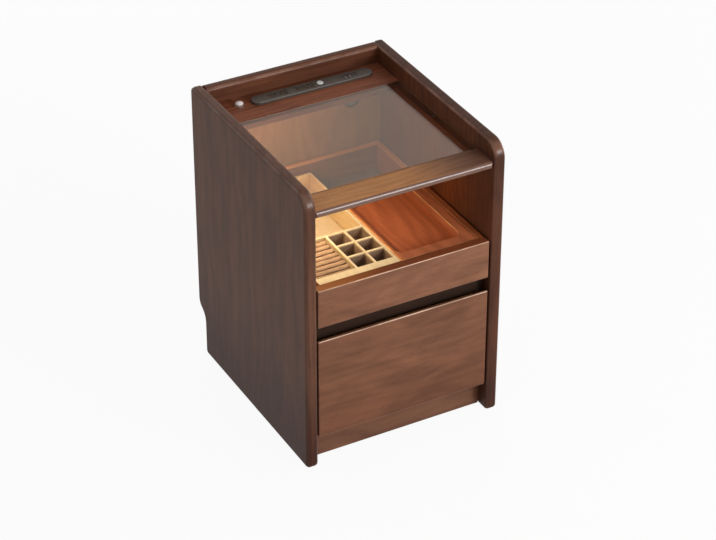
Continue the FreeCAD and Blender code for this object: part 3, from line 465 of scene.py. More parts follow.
# Glass top
# One tempered sheet, lightly tinted, let in flush between the front rail and the ledge. Its edges are ground matt and
# coloured dark brown as painted shade, and it lies loose on its pads.
def layered(tree, share, first, second):
    """Two shaders mixed by a share and joined to the surface."""
    mix = tree.nodes.new("ShaderNodeMixShader")
    for socket, value in zip(mix.inputs, (share, first.outputs[0], second.outputs[0])):
        tree.links.new(value, socket)
    tree.links.new(mix.outputs[0], tree.nodes["Material Output"].inputs["Surface"])


glass_clear_tone, smear_rough, level_share = tone(232, 214, 192), 0.008, 0.7
glass_finish, glass_tree, glass_shader, glass_spot = started("tinted_glass")
glass_shader.inputs["Base Color"].default_value = glass_clear_tone
glass_smear = ramped(glass_tree, clouded(glass_tree, glass_spot["Object"], (14, 14, 14), 4.0, 0.5), 0.55, 0.9)
glass_tree.links.new(worked(glass_tree, "MULTIPLY", glass_smear, smear_rough), glass_shader.inputs["Roughness"])
glass_shader.inputs["IOR"].default_value = 1.45
glass_shader.inputs["Specular IOR Level"].default_value = 0.14
glass_shader.inputs["Specular Tint"].default_value = tone(255, 240, 224)
glass_shader.inputs["Transmission Weight"].default_value = 1.0
glass_open = glass_tree.nodes.new("ShaderNodeBsdfTransparent")
glass_open.inputs["Color"].default_value = glass_clear_tone
glass_rays = glass_tree.nodes.new("ShaderNodeLightPath").outputs
layered(glass_tree, glass_rays["Is Shadow Ray"], glass_shader, glass_open)
dressed(glass_finish, "glass_top")
glass_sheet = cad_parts["glass_top"].data
glass_sheet.materials.append(moulded("ground_edge", tone(92, 66, 50), 0.7, mottle=0.3))
glass_normals = np.empty(3 * len(glass_sheet.polygons))
glass_sheet.polygons.foreach_get("normal", glass_normals)
glass_upright = np.abs(glass_normals[2::3]) < level_share
glass_sheet.polygons.foreach_set("material_index", glass_upright.astype(np.int32))

# Socket strip
# A body let into the ledge under a moulded bezel with round ends, with two outlets, a round white lens and a pair of
# charging ports. The shells are matt black plastic, snapped together.
bezel_finish = moulded("socket_shell", tone(72, 62, 54), 0.42, mottle=0.3, relief=0.00006)
dressed(bezel_finish, "socket_bezel", "socket_body")
insert_finish = moulded("socket_inserts", tone(64, 56, 49), 0.36, mottle=0.25)
dressed(insert_finish, "outlet_inserts", "usb_insert")
lens_finish = moulded("lens_white", tone(236, 233, 226), 0.25, coat=0.4, mottle=0.08)
dressed(lens_finish, "power_lens")


# Plug contacts and port tongues
# Sprung brass leaves stand in pairs in each outlet slot, flared at the top to guide a pin. A flat plastic tongue with
# gilt contacts stands in each charging port.
def quads(rows, columns):
    """Corner numbers of the quads between the points of a grid, row by row."""
    row, column = np.meshgrid(np.arange(rows - 1), np.arange(columns - 1), indexing="ij")
    first = (row * columns + column).ravel()
    return np.stack([first, first + 1, first + columns + 1, first + columns], axis=1)


def surfaced(name, grids, material, body, crease=None):
    """A piece made of grids of points, an array of (rows, columns, 3) each. Points that meet are merged, empty faces
    fall away, and the faces are turned outwards."""
    points = np.concatenate([grid.reshape(-1, 3) for grid in grids])
    starts = np.cumsum([0] + [grid.shape[0] * grid.shape[1] for grid in grids[:-1]])
    faces = np.concatenate([quads(*grid.shape[:2]) + start for grid, start in zip(grids, starts)])
    mesh = bpy.data.meshes.new(name)
    mesh.from_pydata(points.tolist(), [], faces.tolist())
    form = bmesh.new()
    form.from_mesh(mesh)
    bmesh.ops.remove_doubles(form, verts=form.verts, dist=1e-6)
    bmesh.ops.dissolve_degenerate(form, edges=form.edges, dist=1e-7)
    bmesh.ops.recalc_face_normals(form, faces=form.faces)
    form.to_mesh(mesh)
    form.free()
    if crease is None:
        mesh.polygons.foreach_set("use_smooth", np.ones(len(mesh.polygons), dtype=bool))
    else:
        mesh.shade_smooth()
        mesh.set_sharp_from_angle(angle=crease)
    mesh.materials.append(material)
    piece = bpy.data.objects.new(name, mesh)
    bpy.context.scene.collection.objects.link(piece)
    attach(piece, body)
    return piece


insert_low, insert_high = np.array(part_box("outlet_inserts"))
slot_drop, slot_wide = 0.0036, 0.0024
outlet_half, pin_offset, pin_step = 0.017, 0.0085, 0.004
leaf_height, leaf_thick, leaf_flare, leaf_long = 0.0027, 0.0003, 0.0004, 0.0058
leaf_bow, leaf_clearance = 0.00035, 0.0001


def contact_leaf(middle, floor, side):
    """A leaf's outline, its centre line bowed in by sin(pi t) and flared by t^4 at height t, carried along Y."""
    t = np.linspace(0, 1, 9)
    bow = slot_wide / 2 - leaf_thick - leaf_bow * np.sin(math.pi * t) - leaf_clearance + leaf_flare * (t ** 4 - 1)
    out = np.concatenate([bow, bow[::-1] + leaf_thick, bow[:1]])
    rise = np.concatenate([t, t[::-1], t[:1]]) * leaf_height
    ends = np.array([-1.0, -1.0, 1.0, 1.0]) * leaf_long / 2
    hug = np.array([0.0, 1.0, 1.0, 0.0])[:, None]
    heart = (out.mean(), rise.mean())
    x = middle[0] + side * (heart[0] + hug * (out - heart[0]))
    z = floor + heart[1] + hug * (rise - heart[1])
    return np.stack([x, np.broadcast_to(middle[1] + ends[:, None], x.shape), z], axis=2)


strip_y = (insert_low[1] + insert_high[1]) / 2
pin_middles = [
    (outlet + x, strip_y + y)
    for outlet in (insert_low[0] + outlet_half, insert_high[0] - outlet_half)
    for x, y in ((-pin_offset - pin_step, 0), (-pin_offset + pin_step, 0), (pin_offset, pin_step),
                 (pin_offset - pin_step, -pin_step), (pin_offset + pin_step, -pin_step))
]
leaves = [contact_leaf(middle, insert_high[2] - slot_drop, side) for middle in pin_middles for side in (-1, 1)]
brass_finish = moulded("contact_brass", tone(212, 170, 96), 0.3, metal=1.0, mottle=0.3)
surfaced("plug_contacts", leaves, brass_finish, "cabinet", crease=0.7)

usb_low, usb_high = np.array(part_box("usb_insert"))
usb_middle = (usb_low + usb_high) / 2
port_step, tongue_thick, tongue_long, tongue_high = 0.004, 0.0013, 0.0066, 0.0029


def port_tongue(middle, floor):
    """A flat bar with a squarish round section |x/a|^4 + |y/b|^4 = 1, drawn in over the last tenth of its height."""
    around = np.linspace(0, 2 * math.pi, 49)
    ring_x = np.sign(np.cos(around)) * np.abs(np.cos(around)) ** 0.5 * tongue_thick / 2
    ring_y = np.sign(np.sin(around)) * np.abs(np.sin(around)) ** 0.5 * tongue_long / 2
    rise = np.array([0, 0, 0.3, 0.6, 0.9, 0.96, 1.0, 1.0]) * tongue_high
    reach = np.array([0, 1, 1, 1, 1, 0.93, 0.75, 0])
    return np.stack([middle[0] + np.outer(reach, ring_x), middle[1] + np.outer(reach, ring_y),
                     floor + np.outer(rise, np.ones_like(around))], axis=2)


gilt_pitch, gilt_relief = 0.0016, 0.00005
tongue_finish, tongue_tree, tongue_shader, tongue_spot = started("port_tongue")
tongue_skin = placed(tongue_tree, moulded_skin, Place=tongue_spot["Object"], Mottle=0.2, Colour=tone(232, 230, 226))
tongue_y = split(tongue_tree, tongue_spot["Object"])["Y"]
tongue_bands = worked(tongue_tree, "SINE", worked(tongue_tree, "MULTIPLY", tongue_y, 2 * math.pi / gilt_pitch))
tongue_gilt = ramped(tongue_tree, tongue_bands, 0.1, 0.4)
tongue_body = blended(tongue_tree, tongue_gilt, tongue_skin["Tone"], tone(214, 176, 104))
tongue_dull = worked(tongue_tree, "MULTIPLY_ADD", tongue_skin["Fine"], 0.2, 0.25)
for label, value in (("Base Color", tongue_body), ("Metallic", tongue_gilt), ("Roughness", tongue_dull)):
    tongue_tree.links.new(value, tongue_shader.inputs[label])
roughened(tongue_tree, tongue_shader, tongue_gilt, gilt_relief)
port_middles = [(usb_middle[0] + side * port_step, usb_middle[1]) for side in (-1, 1)]
tongues = [port_tongue(middle, usb_high[2] - slot_drop) for middle in port_middles]
surfaced("usb_tongues", tongues, tongue_finish, "cabinet", crease=0.6)

# Light switch
# A sprung push button with a domed pearl cap in a chromed barrel. The barrel goes down through the ledge and is held
# under it by a hexagon nut.
chrome_finish = moulded("bright_metal", tone(214, 208, 202), 0.16, metal=1.0, mottle=0.12, relief=0.00001)
dressed(chrome_finish, "switch_bezel", "switch_nut")
pearl_finish = moulded("button_pearl", tone(240, 226, 222), 0.22, coat=0.6, grit=(300, 300, 300), mottle=0.1,
                       relief=0.00001)
dressed(pearl_finish, "switch_button")

# Light bar
# An extruded aluminium corner profile under the left batten holds a strip of warm white diodes behind a frosted
# quarter-round cover, closed by a cap at each end.
bar_finish = moulded("light_bar_metal", tone(196, 192, 186), 0.35, metal=1.0, grit=(1200, 30, 1200))
dressed(bar_finish, "led_profile")
white_plastic = moulded("white_plastic", tone(232, 230, 224), 0.35, mottle=0.1)
dressed(white_plastic, "led_end_caps", "led_strip")
glow_finish = moulded("light_diffuser", tone(250, 240, 222), 0.45, mottle=0.1)
glow_tree = glow_finish.node_tree
glow_shader = glow_tree.nodes["Principled BSDF"]
diode_pitch, glow_strength = 1 / 60, 34.0
between_diodes, over_diodes = (1.0, 0.77, 0.49, 1), (1.0, 0.86, 0.61, 1)
glow_y = split(glow_tree, glow_tree.nodes.new("ShaderNodeTexCoord").outputs["Object"])["Y"]
glow_wave = worked(glow_tree, "COSINE", worked(glow_tree, "MULTIPLY", glow_y, 2 * math.pi / diode_pitch))
glow_share = worked(glow_tree, "MULTIPLY_ADD", glow_wave, 0.5, 0.5)
glow_tone = blended(glow_tree, glow_share, between_diodes, over_diodes)
glow_tree.links.new(glow_tone, glow_shader.inputs["Emission Color"])
glow_shader.inputs["Emission Strength"].default_value = glow_strength
dressed(glow_finish, "led_diffuser")

# Driver and leads
# A moulded power supply screwed under the ledge in the corner behind the light bar, with thin black leads to the bar
# and to the switch.
dressed(black_plastic, "led_driver", "light_leads")

# Drawer slides
# Ball-bearing slides in three members, rolled from zinc-plated steel strip and brushed along their length, with the
# outer member screwed to the cabinet and the inner one under the box.
slide_finish = moulded("slide_steel", tone(190, 190, 188), 0.34, metal=1.0, grit=(1500, 24, 1500), mottle=0.35)
dressed(slide_finish, "upper_cabinet_rails", "lower_cabinet_rails", "upper_middle_rails", "lower_middle_rails",
        "upper_drawer_rails", "lower_drawer_rails", "rail_screws")

# Drawer boxes
# Four lacquered walls, butted and glued, round a thin bottom held in grooves. Grain runs along every wall. The upright
# faces are tinted darker than the upper edges as painted shade, and the end walls and the top of the right wall behind
# the tray are paler as painted light from the light bar.
box_figure = (0.3, 0.7, 0.6, 0.4, 0.4)


def upright_faces(tree, spot):
    """1 on upright faces, 0 on level ones."""
    return ramped(tree, worked(tree, "ABSOLUTE", split(tree, spot["Normal"])["Z"]), 0.9, 0.5)


box_side_tones = (tone(158, 92, 57), tone(122, 66, 40), tone(70, 40, 25))
box_side_finish = wooden("drawer_wood_back", grain_back, (6.4, 0.6, 0.4), box_side_tones, box_figure, 0.45,
                         where=upright_faces, tint=tone(206, 204, 204))
dressed(box_side_finish, "upper_box_left", "lower_box_left", "lower_box_right")
beside_tray = along("Object", "Y", 0.045, 0.03)


def wall_shade(tree, spot):
    """Painted shade: 1 beside the tray and on upright faces, 0 on the top of the wall behind the tray, which keeps its
    pale
    tone as painted light: the larger of two masks.
    """
    return worked(tree, "MAXIMUM", beside_tray(tree, spot), upright_faces(tree, spot))


right_wall_tones = (tone(226, 160, 104), tone(184, 122, 74), tone(104, 64, 38))
right_wall_finish = wooden("drawer_wood_right", grain_back, (6.9, 0.3, 0.5), right_wall_tones, box_figure, 0.45,
                           where=wall_shade, tint=tone(178, 147, 140))
dressed(right_wall_finish, "upper_box_right")
# Painted light: the end walls' tones are paler than the side walls', as the light bar's light on the back wall.
box_end_tones = (tone(234, 170, 108), tone(190, 130, 78), tone(104, 64, 38))
box_end_finish = wooden("drawer_wood_across", grain_across, (7.3, 0.2, 0.9), box_end_tones, box_figure, 0.45,
                        where=upright_faces, tint=tone(150, 138, 136))
dressed(box_end_finish, "upper_box_front", "upper_box_back", "lower_box_front", "lower_box_back")
box_bottom_tones = (tone(128, 110, 92), tone(98, 82, 66), tone(70, 56, 44))
box_bottom_finish = wooden("box_bottom", grain_back, (4.9, 1.5, 0.8), box_bottom_tones, box_figure, 0.5)
dressed(box_bottom_finish, "upper_box_bottom", "lower_box_bottom")

# Drawer fronts
# Walnut boards with the grain across and softened edges, screwed on from inside the boxes. The lower one is bevelled
# behind its upper edge, so that fingers can pull it open through the gap.
# The fronts' rounded edges take a pale pink tone, as wear and as painted highlight.
front_wear_and_highlight = tone(226, 184, 156)
toward_bottom, level_faces = along("Object", "Z", 0.17, 0.06), along("Normal", "Z", 0.6, 0.95)
# The lower front's colour runs slightly darker towards its bottom edge.
lower_tones = (tone(138, 91, 65), tone(98, 60, 42), tone(48, 28, 20))
lower_finish = wooden("lower_walnut", grain_across, (5.6, 0.35, 0.8), lower_tones, front_figure, 0.46, wear_and_highlight=1.0,
                      wear_and_highlight_tone=front_wear_and_highlight, where=toward_bottom, tint=tone(242, 234, 230))
dressed(lower_finish, "lower_drawer_front")
# Painted light: the top face of the upper front is tinted golden at its left end, where the light bar shines, and
# darker at the middle and right.
right_of_glow = along("Object", "X", -0.15, -0.01)
glow_tint, past_glow_tint = (1.4, 1.2, 0.7, 1.0), (0.74, 0.46, 0.3, 1.0)


def glow_at_left_end(tree, spot):
    """Painted light: a tint that goes from golden at the left end to dark at the middle and right of it."""
    return blended(tree, right_of_glow(tree, spot), glow_tint, past_glow_tint)


upper_tones = (tone(150, 101, 74), tone(112, 72, 51), tone(54, 32, 23))
upper_finish = wooden("upper_walnut", grain_across, (6.2, 0.75, 0.3), upper_tones, front_figure, 0.46, wear_and_highlight=1.0,
                      wear_and_highlight_tone=front_wear_and_highlight, where=level_faces, tint=glow_at_left_end)
dressed(upper_finish, "upper_drawer_front")
front_screw_x, front_screw_shares = (-0.098, 0.098), (0.4, 0.75)
for drawer in ("upper", "lower"):
    wall_low, wall_high = (corner[2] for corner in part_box(drawer + "_box_left"))
    heights = [wall_low + (wall_high - wall_low) * share for share in front_screw_shares]
    dressed(screwed(drawer + "_screws", front_screw_x, heights), drawer + "_drawer_screws")

# Organizer
# A pale maple insert glued up from thin strips: a base, four walls, and dividers for a column of rolls, six small
# cells and a wide compartment behind them. It is sanded and lightly lacquered.
organizer_figure = (0.25, 0.6, 0.5, 0.5, 0.25)
organizer_tones = (tone(240, 222, 184), tone(222, 196, 152), tone(156, 120, 80))
# Painted shade: the organizer's upright faces are tinted darker than its upper edges.
organizer_finish = wooden("organizer_wood", grain_back, (8.1, 0.5, 0.1), organizer_tones, organizer_figure, 0.42,
                          where=upright_faces, tint=tone(228, 218, 204))
dressed(organizer_finish, "organizer_base", "organizer_walls", "organizer_dividers")


# Felt cups and pad
# Each small cell is lined with a cup of pressed brown felt, and the wide compartment behind has a cream pad on its
# floor. Both are cut to fit, glued at the bottom and slightly fuzzy.
def nap_group():
    """Fuzzy cloth: tangled fibres from stretched noise laid two ways, over a slow unevenness of shade."""
    group, takes, gives = grouped(
        "cloth_nap",
        [("Place", "NodeSocketVector", (0, 0, 0)), ("Bright", "NodeSocketColor", (1, 1, 1, 1)),
         ("Shade", "NodeSocketColor", (0, 0, 0, 1)), ("Fine", "NodeSocketFloat", 1.0)],
        [("Tone", "NodeSocketColor"), ("Fuzz", "NodeSocketFloat")],
    )
    scaled = group.nodes.new("ShaderNodeVectorMath")
    scaled.operation = "SCALE"
    group.links.new(takes["Place"], scaled.inputs[0])
    group.links.new(takes["Fine"], scaled.inputs["Scale"])
    place = scaled.outputs[0]
    one_way = clouded(group, place, (420, 1900, 1100), 3.0, 1.0)
    other_way = clouded(group, place, (1900, 420, 1100), 3.0, 1.0)
    fuzz = worked(group, "MAXIMUM", one_way, other_way)
    broad = clouded(group, place, (45, 45, 45), 3.0)
    uneven = worked(group, "SUBTRACT", broad, 0.5)
    share = worked(group, "MULTIPLY_ADD", uneven, 0.8, ramped(group, fuzz, 0.35, 0.75))
    clear = group.nodes.new("ShaderNodeClamp")
    group.links.new(share, clear.inputs["Value"])
    group.links.new(blended(group, clear.outputs[0], takes["Shade"], takes["Bright"]), gives["Tone"])
    group.links.new(fuzz, gives["Fuzz"])
    return group


cloth_nap = nap_group()


def napped(name, bright, shade, fine, relief, sheen, sheen_tone, deep=None):
    """A fuzzy cloth with a soft sheen at grazing angles. Where deep is given, the cloth is tinted by it where it turns
    away from above, as painted shade.
    """
    material, tree, shader, spot = started(name)
    nap = placed(tree, cloth_nap, Place=spot["Object"], Bright=bright, Shade=shade, Fine=fine)
    body = nap["Tone"]
    if deep:
        away = ramped(tree, split(tree, spot["Normal"])["Z"], 0.8, 0.25)
        body = blended(tree, away, body, blended(tree, 1.0, body, deep, "MULTIPLY"))
    tree.links.new(body, shader.inputs["Base Color"])
    tree.links.new(worked(tree, "MULTIPLY_ADD", nap["Fuzz"], 0.2, 0.78), shader.inputs["Roughness"])
    roughened(tree, shader, nap["Fuzz"], relief, 0.8)
    shader.inputs["Sheen Weight"].default_value = sheen
    shader.inputs["Sheen Roughness"].default_value = 0.4
    shader.inputs["Sheen Tint"].default_value = sheen_tone
    shader.inputs["Specular IOR Level"].default_value = 0.2
    return material


def rounded_ring(half_x, half_y, radius, steps=6):
    """Points round a rectangle with round corners: each corner's centre plus radius times (cos a, sin a), closed."""
    bend = np.linspace(0, math.pi / 2, steps)
    angles = np.concatenate([bend + quarter * math.pi / 2 for quarter in range(4)])
    side_x = np.repeat([1, -1, -1, 1], steps)
    side_y = np.repeat([1, 1, -1, -1], steps)
    ring = np.stack([side_x * (half_x - radius) + radius * np.cos(angles),
                     side_y * (half_y - radius) + radius * np.sin(angles)], axis=1)
    return np.concatenate([ring, ring[:1]])


cup_corner, corner_draw, cup_cove, cup_skirt, cove_top = 0.0035, 0.6, 0.002, 0.001, 0.012


def felt_cup(middle, half_x, half_y, low, high, wall, floor):
    """A cup: rings of a rounded rectangle, drawn in by an inset at each height, up the outside, over the rim, down the
    inside and across the floor to its middle."""
    rim, turn = np.linspace(0, math.pi, 7), np.linspace(0, math.pi / 2, 4)
    insets = np.concatenate([[0, 0], wall / 2 - wall / 2 * np.cos(rim), [wall], wall + cup_cove * (1 - np.cos(turn))])
    heights = np.concatenate([[low, low + cup_skirt], high - wall / 2 + wall / 2 * np.sin(rim),
                              [low + floor + cove_top], low + floor + cup_cove * (1 - np.sin(turn))])
    rings = [rounded_ring(half_x - inset, half_y - inset, cup_corner - corner_draw * inset) for inset in insets]
    grid = np.concatenate([np.stack([np.zeros_like(rings[0]), rings[0] * 0.5]), np.stack(rings),
                           np.stack([rings[-1] * share for share in (0.8, 0.55, 0.3, 0)])])
    levels = np.concatenate([[low, low], heights, np.full(4, low + floor)])
    tall = np.broadcast_to(levels[:, None], grid.shape[:2])
    return np.stack([middle[0] + grid[..., 0], middle[1] + grid[..., 1], tall], axis=2)


liner_low, liner_high = np.array(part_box("cell_liners"))
wall_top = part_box("organizer_walls")[1][2]
cell_wide, cell_deep, strip_wide, ring_column = 0.02925, 0.031, 0.004, 0.067
fit, liner_fit, below_rim, felt_wall, felt_floor = 0.0001, 0.0002, 0.0018, 0.0009, 0.001
inner_left, inner_front = liner_low[0] - liner_fit, liner_low[1] - liner_fit
cells_left = inner_left + ring_column + strip_wide
cup_middles = [
    (cells_left + cell_wide / 2 + column * (cell_wide + strip_wide),
     inner_front + cell_deep / 2 + row * (cell_deep + strip_wide))
    for column in range(2) for row in range(3)
]
cups = [felt_cup(middle, cell_wide / 2 - fit, cell_deep / 2 - fit, liner_low[2], wall_top - below_rim, felt_wall,
                 felt_floor) for middle in cup_middles]
felt_finish = napped("cell_felt", tone(156, 126, 100), tone(106, 82, 62), 1.0, 0.0004, 0.2, tone(190, 160, 130))
felt_cups = surfaced("felt_cups", cups, felt_finish, "upper_drawer")
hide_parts("cell_liners")
pad_corner, pad_thick, pad_crown = 0.004, 0.001, 0.0006


def crowned_pad(middle, half_x, half_y, low, thick, crown):
    """A thin pad: a rounded rectangle under, a round edge, and a top that rises by crown times 1 - s^2 at share s."""
    shares = np.array([0, 0.5, 0.99, 1.0, 0.992, 0.97, 0.9, 0.75, 0.5, 0.25, 0])
    levels = np.array([0, 0, 0, 0.45, 0.8, 1, 1, 1, 1, 1, 1]) * thick
    swell = np.where(np.arange(len(shares)) > 4, crown * (1 - shares ** 2), 0)
    ring = rounded_ring(half_x, half_y, pad_corner)
    grid = shares[:, None, None] * ring[None]
    tall = np.broadcast_to((low + levels + swell)[:, None], grid.shape[:2])
    return np.stack([middle[0] + grid[..., 0], middle[1] + grid[..., 1], tall], axis=2)


pad_finish = napped("pad_velvet", tone(236, 217, 184), tone(206, 178, 142), 1.6, 0.0003, 0.4, tone(255, 240, 214))
rear_front = inner_front + 3 * (cell_deep + strip_wide)
rear_middle = ((liner_low[0] + liner_high[0]) / 2, (rear_front + liner_high[1]) / 2)
pad_half_x, pad_half_y = (liner_high[0] - liner_low[0]) / 2, (liner_high[1] - rear_front) / 2 - fit
pad_form = crowned_pad(rear_middle, pad_half_x, pad_half_y, liner_low[2], pad_thick, pad_crown)
rear_pad = surfaced("compartment_pad", [pad_form], pad_finish, "upper_drawer")

# Ring rolls
# Eight slips of foam wrapped in fawn velvet stand side by side in the left column and grip what is pushed down between
# them. The velvet is drawn over the crown, tucked in at the ends and glued under the foot.
roll_low, roll_high = np.array(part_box("ring_rolls"))
roll_count, roll_gap, roll_slack, roll_end, roll_swell = 8, 0.0005, 0.0006, 0.0025, 0.0006


def ring_roll(middle_y, half):
    """A slip: its section is a foot, two upright sides and a half-round crown. Carried along X, it is drawn in at both
    ends along a quarter circle, and closed flat down to its mid-line."""
    foot, side, arc = np.linspace(0, 1, 4)[:-1], np.linspace(0, 1, 10)[:-1], np.linspace(0, math.pi / 2, 8)
    wide = np.concatenate([foot, np.ones_like(side), np.cos(arc)])
    tall = np.concatenate([np.zeros_like(foot), side, np.ones_like(arc)])
    over = np.concatenate([np.zeros_like(foot), np.zeros_like(side), np.sin(arc)])
    wide, tall, over = (np.concatenate([part, sign * part[-2::-1]])
                        for part, sign in ((wide, -1), (tall, 1), (over, 1)))
    bend = np.linspace(0, math.pi / 2, 6)
    cap = np.linspace(0, 1, 4)[:-1] * (half - roll_end)
    start = np.concatenate([np.zeros(3), roll_end * (1 - np.cos(bend))])
    drawn = np.concatenate([cap, half - roll_end * (1 - np.sin(bend))])
    middle = np.linspace(0, 1, 20)[1:-1]
    length = roll_high[0] - roll_low[0] - 2 * roll_slack
    along = np.concatenate([start, roll_end + middle * (length - 2 * roll_end), length - start[::-1]])
    reach = np.concatenate([drawn, np.full_like(middle, half), drawn[::-1]])
    crown = roll_high[2] - roll_low[2] - half - roll_slack
    y = middle_y + np.outer(reach, wide)
    z = roll_low[2] + crown * tall[None] + np.outer(reach, over)
    return np.stack([np.broadcast_to((roll_low[0] + roll_slack + along)[:, None], y.shape), y, z], axis=2)


# Painted shade: the velvet is tinted deeper on the sides of the rolls, as the shade in the gaps between them.
velvet_finish = napped("ring_velvet", tone(204, 168, 130), tone(160, 122, 90), 1.6, 0.0003, 0.4, tone(255, 236, 210),
                       deep=tone(132, 108, 94))
roll_pitch = (roll_high[1] - roll_low[1] + roll_gap) / roll_count
roll_half = (roll_pitch - roll_gap) / 2 - roll_slack
roll_middles = roll_low[1] + (np.arange(roll_count) + 0.5) * roll_pitch - roll_gap / 2
rolls = surfaced("ring_rolls_velvet", [ring_roll(middle, roll_half) for middle in roll_middles], velvet_finish,
                 "upper_drawer")
roll_pressure, velvet_mass, glue_height = 30.0, 0.02, 0.0001


def swollen(piece, held, pressure, most, frames=20):
    """Blows a wrapped piece up by cloth simulation with its held points fixed, and caps how far each point moves."""
    mesh = piece.data
    start = np.empty(3 * len(mesh.vertices))
    mesh.vertices.foreach_get("co", start)
    pinned = piece.vertex_groups.new(name="glued")
    pinned.add(np.flatnonzero(held(start.reshape(-1, 3))).tolist(), 1.0, "REPLACE")
    cloth = piece.modifiers.new("swell", "CLOTH")
    cloth.settings.vertex_group_mass = "glued"
    cloth.settings.use_pressure = True
    cloth.settings.uniform_pressure_force = pressure
    cloth.settings.mass = velvet_mass
    cloth.settings.effector_weights.gravity = 0
    cloth.collision_settings.use_collision = False
    for number in range(1, frames + 1):
        bpy.context.scene.frame_set(number)
    seen = piece.evaluated_get(bpy.context.evaluated_depsgraph_get()).data
    moved = np.empty_like(start)
    seen.vertices.foreach_get("co", moved)
    piece.modifiers.remove(cloth)
    piece.vertex_groups.clear()
    bpy.context.scene.frame_set(1)
    step = (moved - start).reshape(-1, 3)
    size = np.linalg.norm(step, axis=1, keepdims=True)
    capped = step * np.minimum(1, most / np.maximum(size, 1e-9))
    mesh.vertices.foreach_set("co", (start.reshape(-1, 3) + capped).ravel())
    mesh.update()


swollen(rolls, lambda points: points[:, 2] < roll_low[2] + glue_height, roll_pressure, roll_swell)
smooth = rolls.modifiers.new("smooth", "SUBSURF")
smooth.levels = smooth.render_levels = 1
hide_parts("ring_rolls")

# Tray
# A loose tray with round inner corners and a floor let down onto a lip, in reddish wood, stained and lacquered to a
# soft gloss. It lies at the front of the upper drawer's right half.
tray_figure = (0.3, 0.7, 0.9, 0.4, 0.4)
tray_floor_tones = (tone(194, 108, 68), tone(146, 76, 47), tone(84, 40, 25))
tray_floor_finish = wooden("tray_floor_wood", grain_back, (9.4, 0.8, 0.6), tray_floor_tones, tray_figure, 0.36)
dressed(tray_floor_finish, "tray_floor")
# Painted light: the frame's left rim is tinted paler where the light bar falls on it. Its rounded edges take a pale
# tone, as wear and as painted highlight.
tray_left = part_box("tray_frame")[0][0]
left_rim_glow = along("Object", "X", tray_left + 0.012, tray_left + 0.004)
tray_frame_tones = (tone(190, 112, 76), tone(144, 80, 53), tone(84, 42, 27))
tray_frame_finish = wooden("tray_frame_wood", grain_back, (9.9, 0.2, 0.6), tray_frame_tones, tray_figure, 0.36,
                           wear_and_highlight=1.0, wear_and_highlight_tone=tone(244, 184, 126), where=left_rim_glow, tint=(1.5, 1.6, 1.3, 1.0))
dressed(tray_frame_finish, "tray_frame")

# Floor and surroundings
# A pale, matt studio floor and white walls, seen as white by the camera, in reflections and through the glass. The
# floor keeps the shadow of the cabinet.
floor_half, floor_rough, floor_white_share, sky_level = 8.0, 0.9, 0.93, 0.38
floor_corners = floor_half * np.array([(-1, -1, 0), (1, -1, 0), (1, 1, 0), (-1, 1, 0)])
floor_mesh = bpy.data.meshes.new("floor")
floor_mesh.from_pydata(floor_corners.tolist(), [], [(0, 1, 2, 3)])
floor = bpy.data.objects.new("floor", floor_mesh)
bpy.context.scene.collection.objects.link(floor)


def seen_rays(tree):
    """1 for rays from the camera, from a reflection or through glass."""
    rays = tree.nodes.new("ShaderNodeLightPath").outputs
    straight = worked(tree, "MAXIMUM", rays["Is Camera Ray"], rays["Is Glossy Ray"])
    return worked(tree, "MAXIMUM", straight, rays["Is Transmission Ray"])


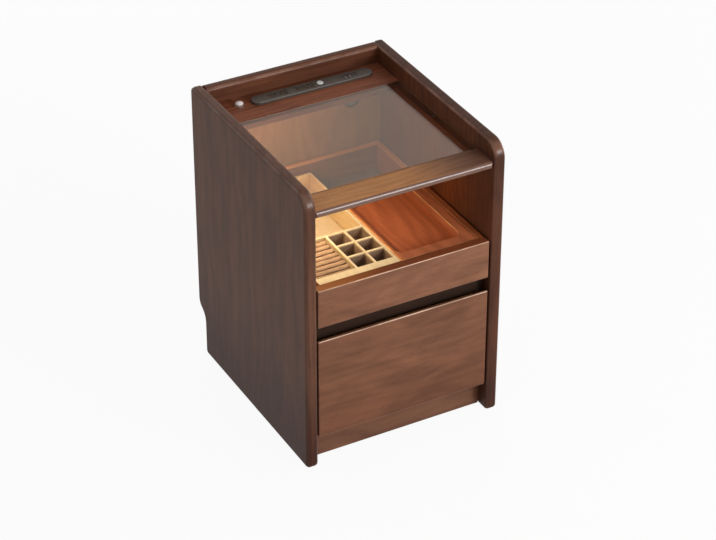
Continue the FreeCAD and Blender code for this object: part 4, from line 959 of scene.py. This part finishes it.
floor_finish, floor_tree, floor_shader = started("pale_floor")[:3]
floor_shader.inputs["Base Color"].default_value = (0.86, 0.86, 0.86, 1)
floor_shader.inputs["Roughness"].default_value = floor_rough
floor_white = floor_tree.nodes.new("ShaderNodeEmission")
floor_share = worked(floor_tree, "MULTIPLY", seen_rays(floor_tree), floor_white_share)
layered(floor_tree, floor_share, floor_shader, floor_white)
floor_mesh.materials.append(floor_finish)
world = bpy.data.worlds.new("studio")
bpy.context.scene.world = world
world.use_nodes = True
sky = world.node_tree
sky.nodes["Background"].inputs["Color"].default_value = (1, 1, 1, 1)
sky_strength = worked(sky, "MULTIPLY_ADD", seen_rays(sky), 1 - sky_level, sky_level)
sky.links.new(sky_strength, sky.nodes["Background"].inputs["Strength"])


# Studio lights
# A soft square panel at the front right lights the fronts and the rounded edges. Two low washes light the back and the
# right side.
def turned_to(place, aim):
    """The matrix of a thing at a place that faces its aim along its own -Z."""
    back = np.array(place) - np.array(aim)
    back = back / np.linalg.norm(back)
    right = np.cross((0, 0, 1), back)
    right = right / np.linalg.norm(right)
    up = np.cross(back, right)
    return Matrix([(right[i], up[i], back[i], place[i]) for i in range(3)] + [(0, 0, 0, 1)])


def studio_light(name, place, aim, side, power):
    """A square soft light at a place, turned to its aim."""
    data = bpy.data.lights.new(name, "AREA")
    data.shape = "SQUARE"
    data.size = side
    data.energy = power
    made = bpy.data.objects.new(name, data)
    made.matrix_world = turned_to(place, aim)
    bpy.context.scene.collection.objects.link(made)


studio_light("key", (1.25, -2.8, 1.35), (0, 0, 0.3), 1.1, 58)
studio_light("back_wash", (0.6, 3.0, 0.45), (0, 0, 0.25), 1.2, 26)
studio_light("right_wash", (3.0, 0.5, 0.42), (0, 0, 0.25), 1.2, 20)

# Camera
# It stands at the photograph's angle and distance, with everything sharp. Its focal length is measured in pixels of a
# picture of the photograph's width.
focal_pixels, picture_pixels, sensor_wide = 2449.77, 716, 36.0
camera_data = bpy.data.cameras.new("camera")
camera_data.sensor_width = sensor_wide
camera_data.lens = focal_pixels * sensor_wide / picture_pixels
camera_data.clip_end = 50.0
camera = bpy.data.objects.new("camera", camera_data)
azimuth, pitch, roll = np.radians([-28.74, 32.99, 0.12])
away = np.array([np.sin(azimuth) * np.cos(pitch), -np.cos(azimuth) * np.cos(pitch), np.sin(pitch)])
camera_place = np.array([-1.5903, -2.9424, 2.3849])
camera.matrix_world = turned_to(camera_place, camera_place - away) @ Matrix.Rotation(roll, 4, "Z")
bpy.context.scene.collection.objects.link(camera)
bpy.context.scene.camera = camera
bpy.context.scene.view_settings.view_transform = "Standard"
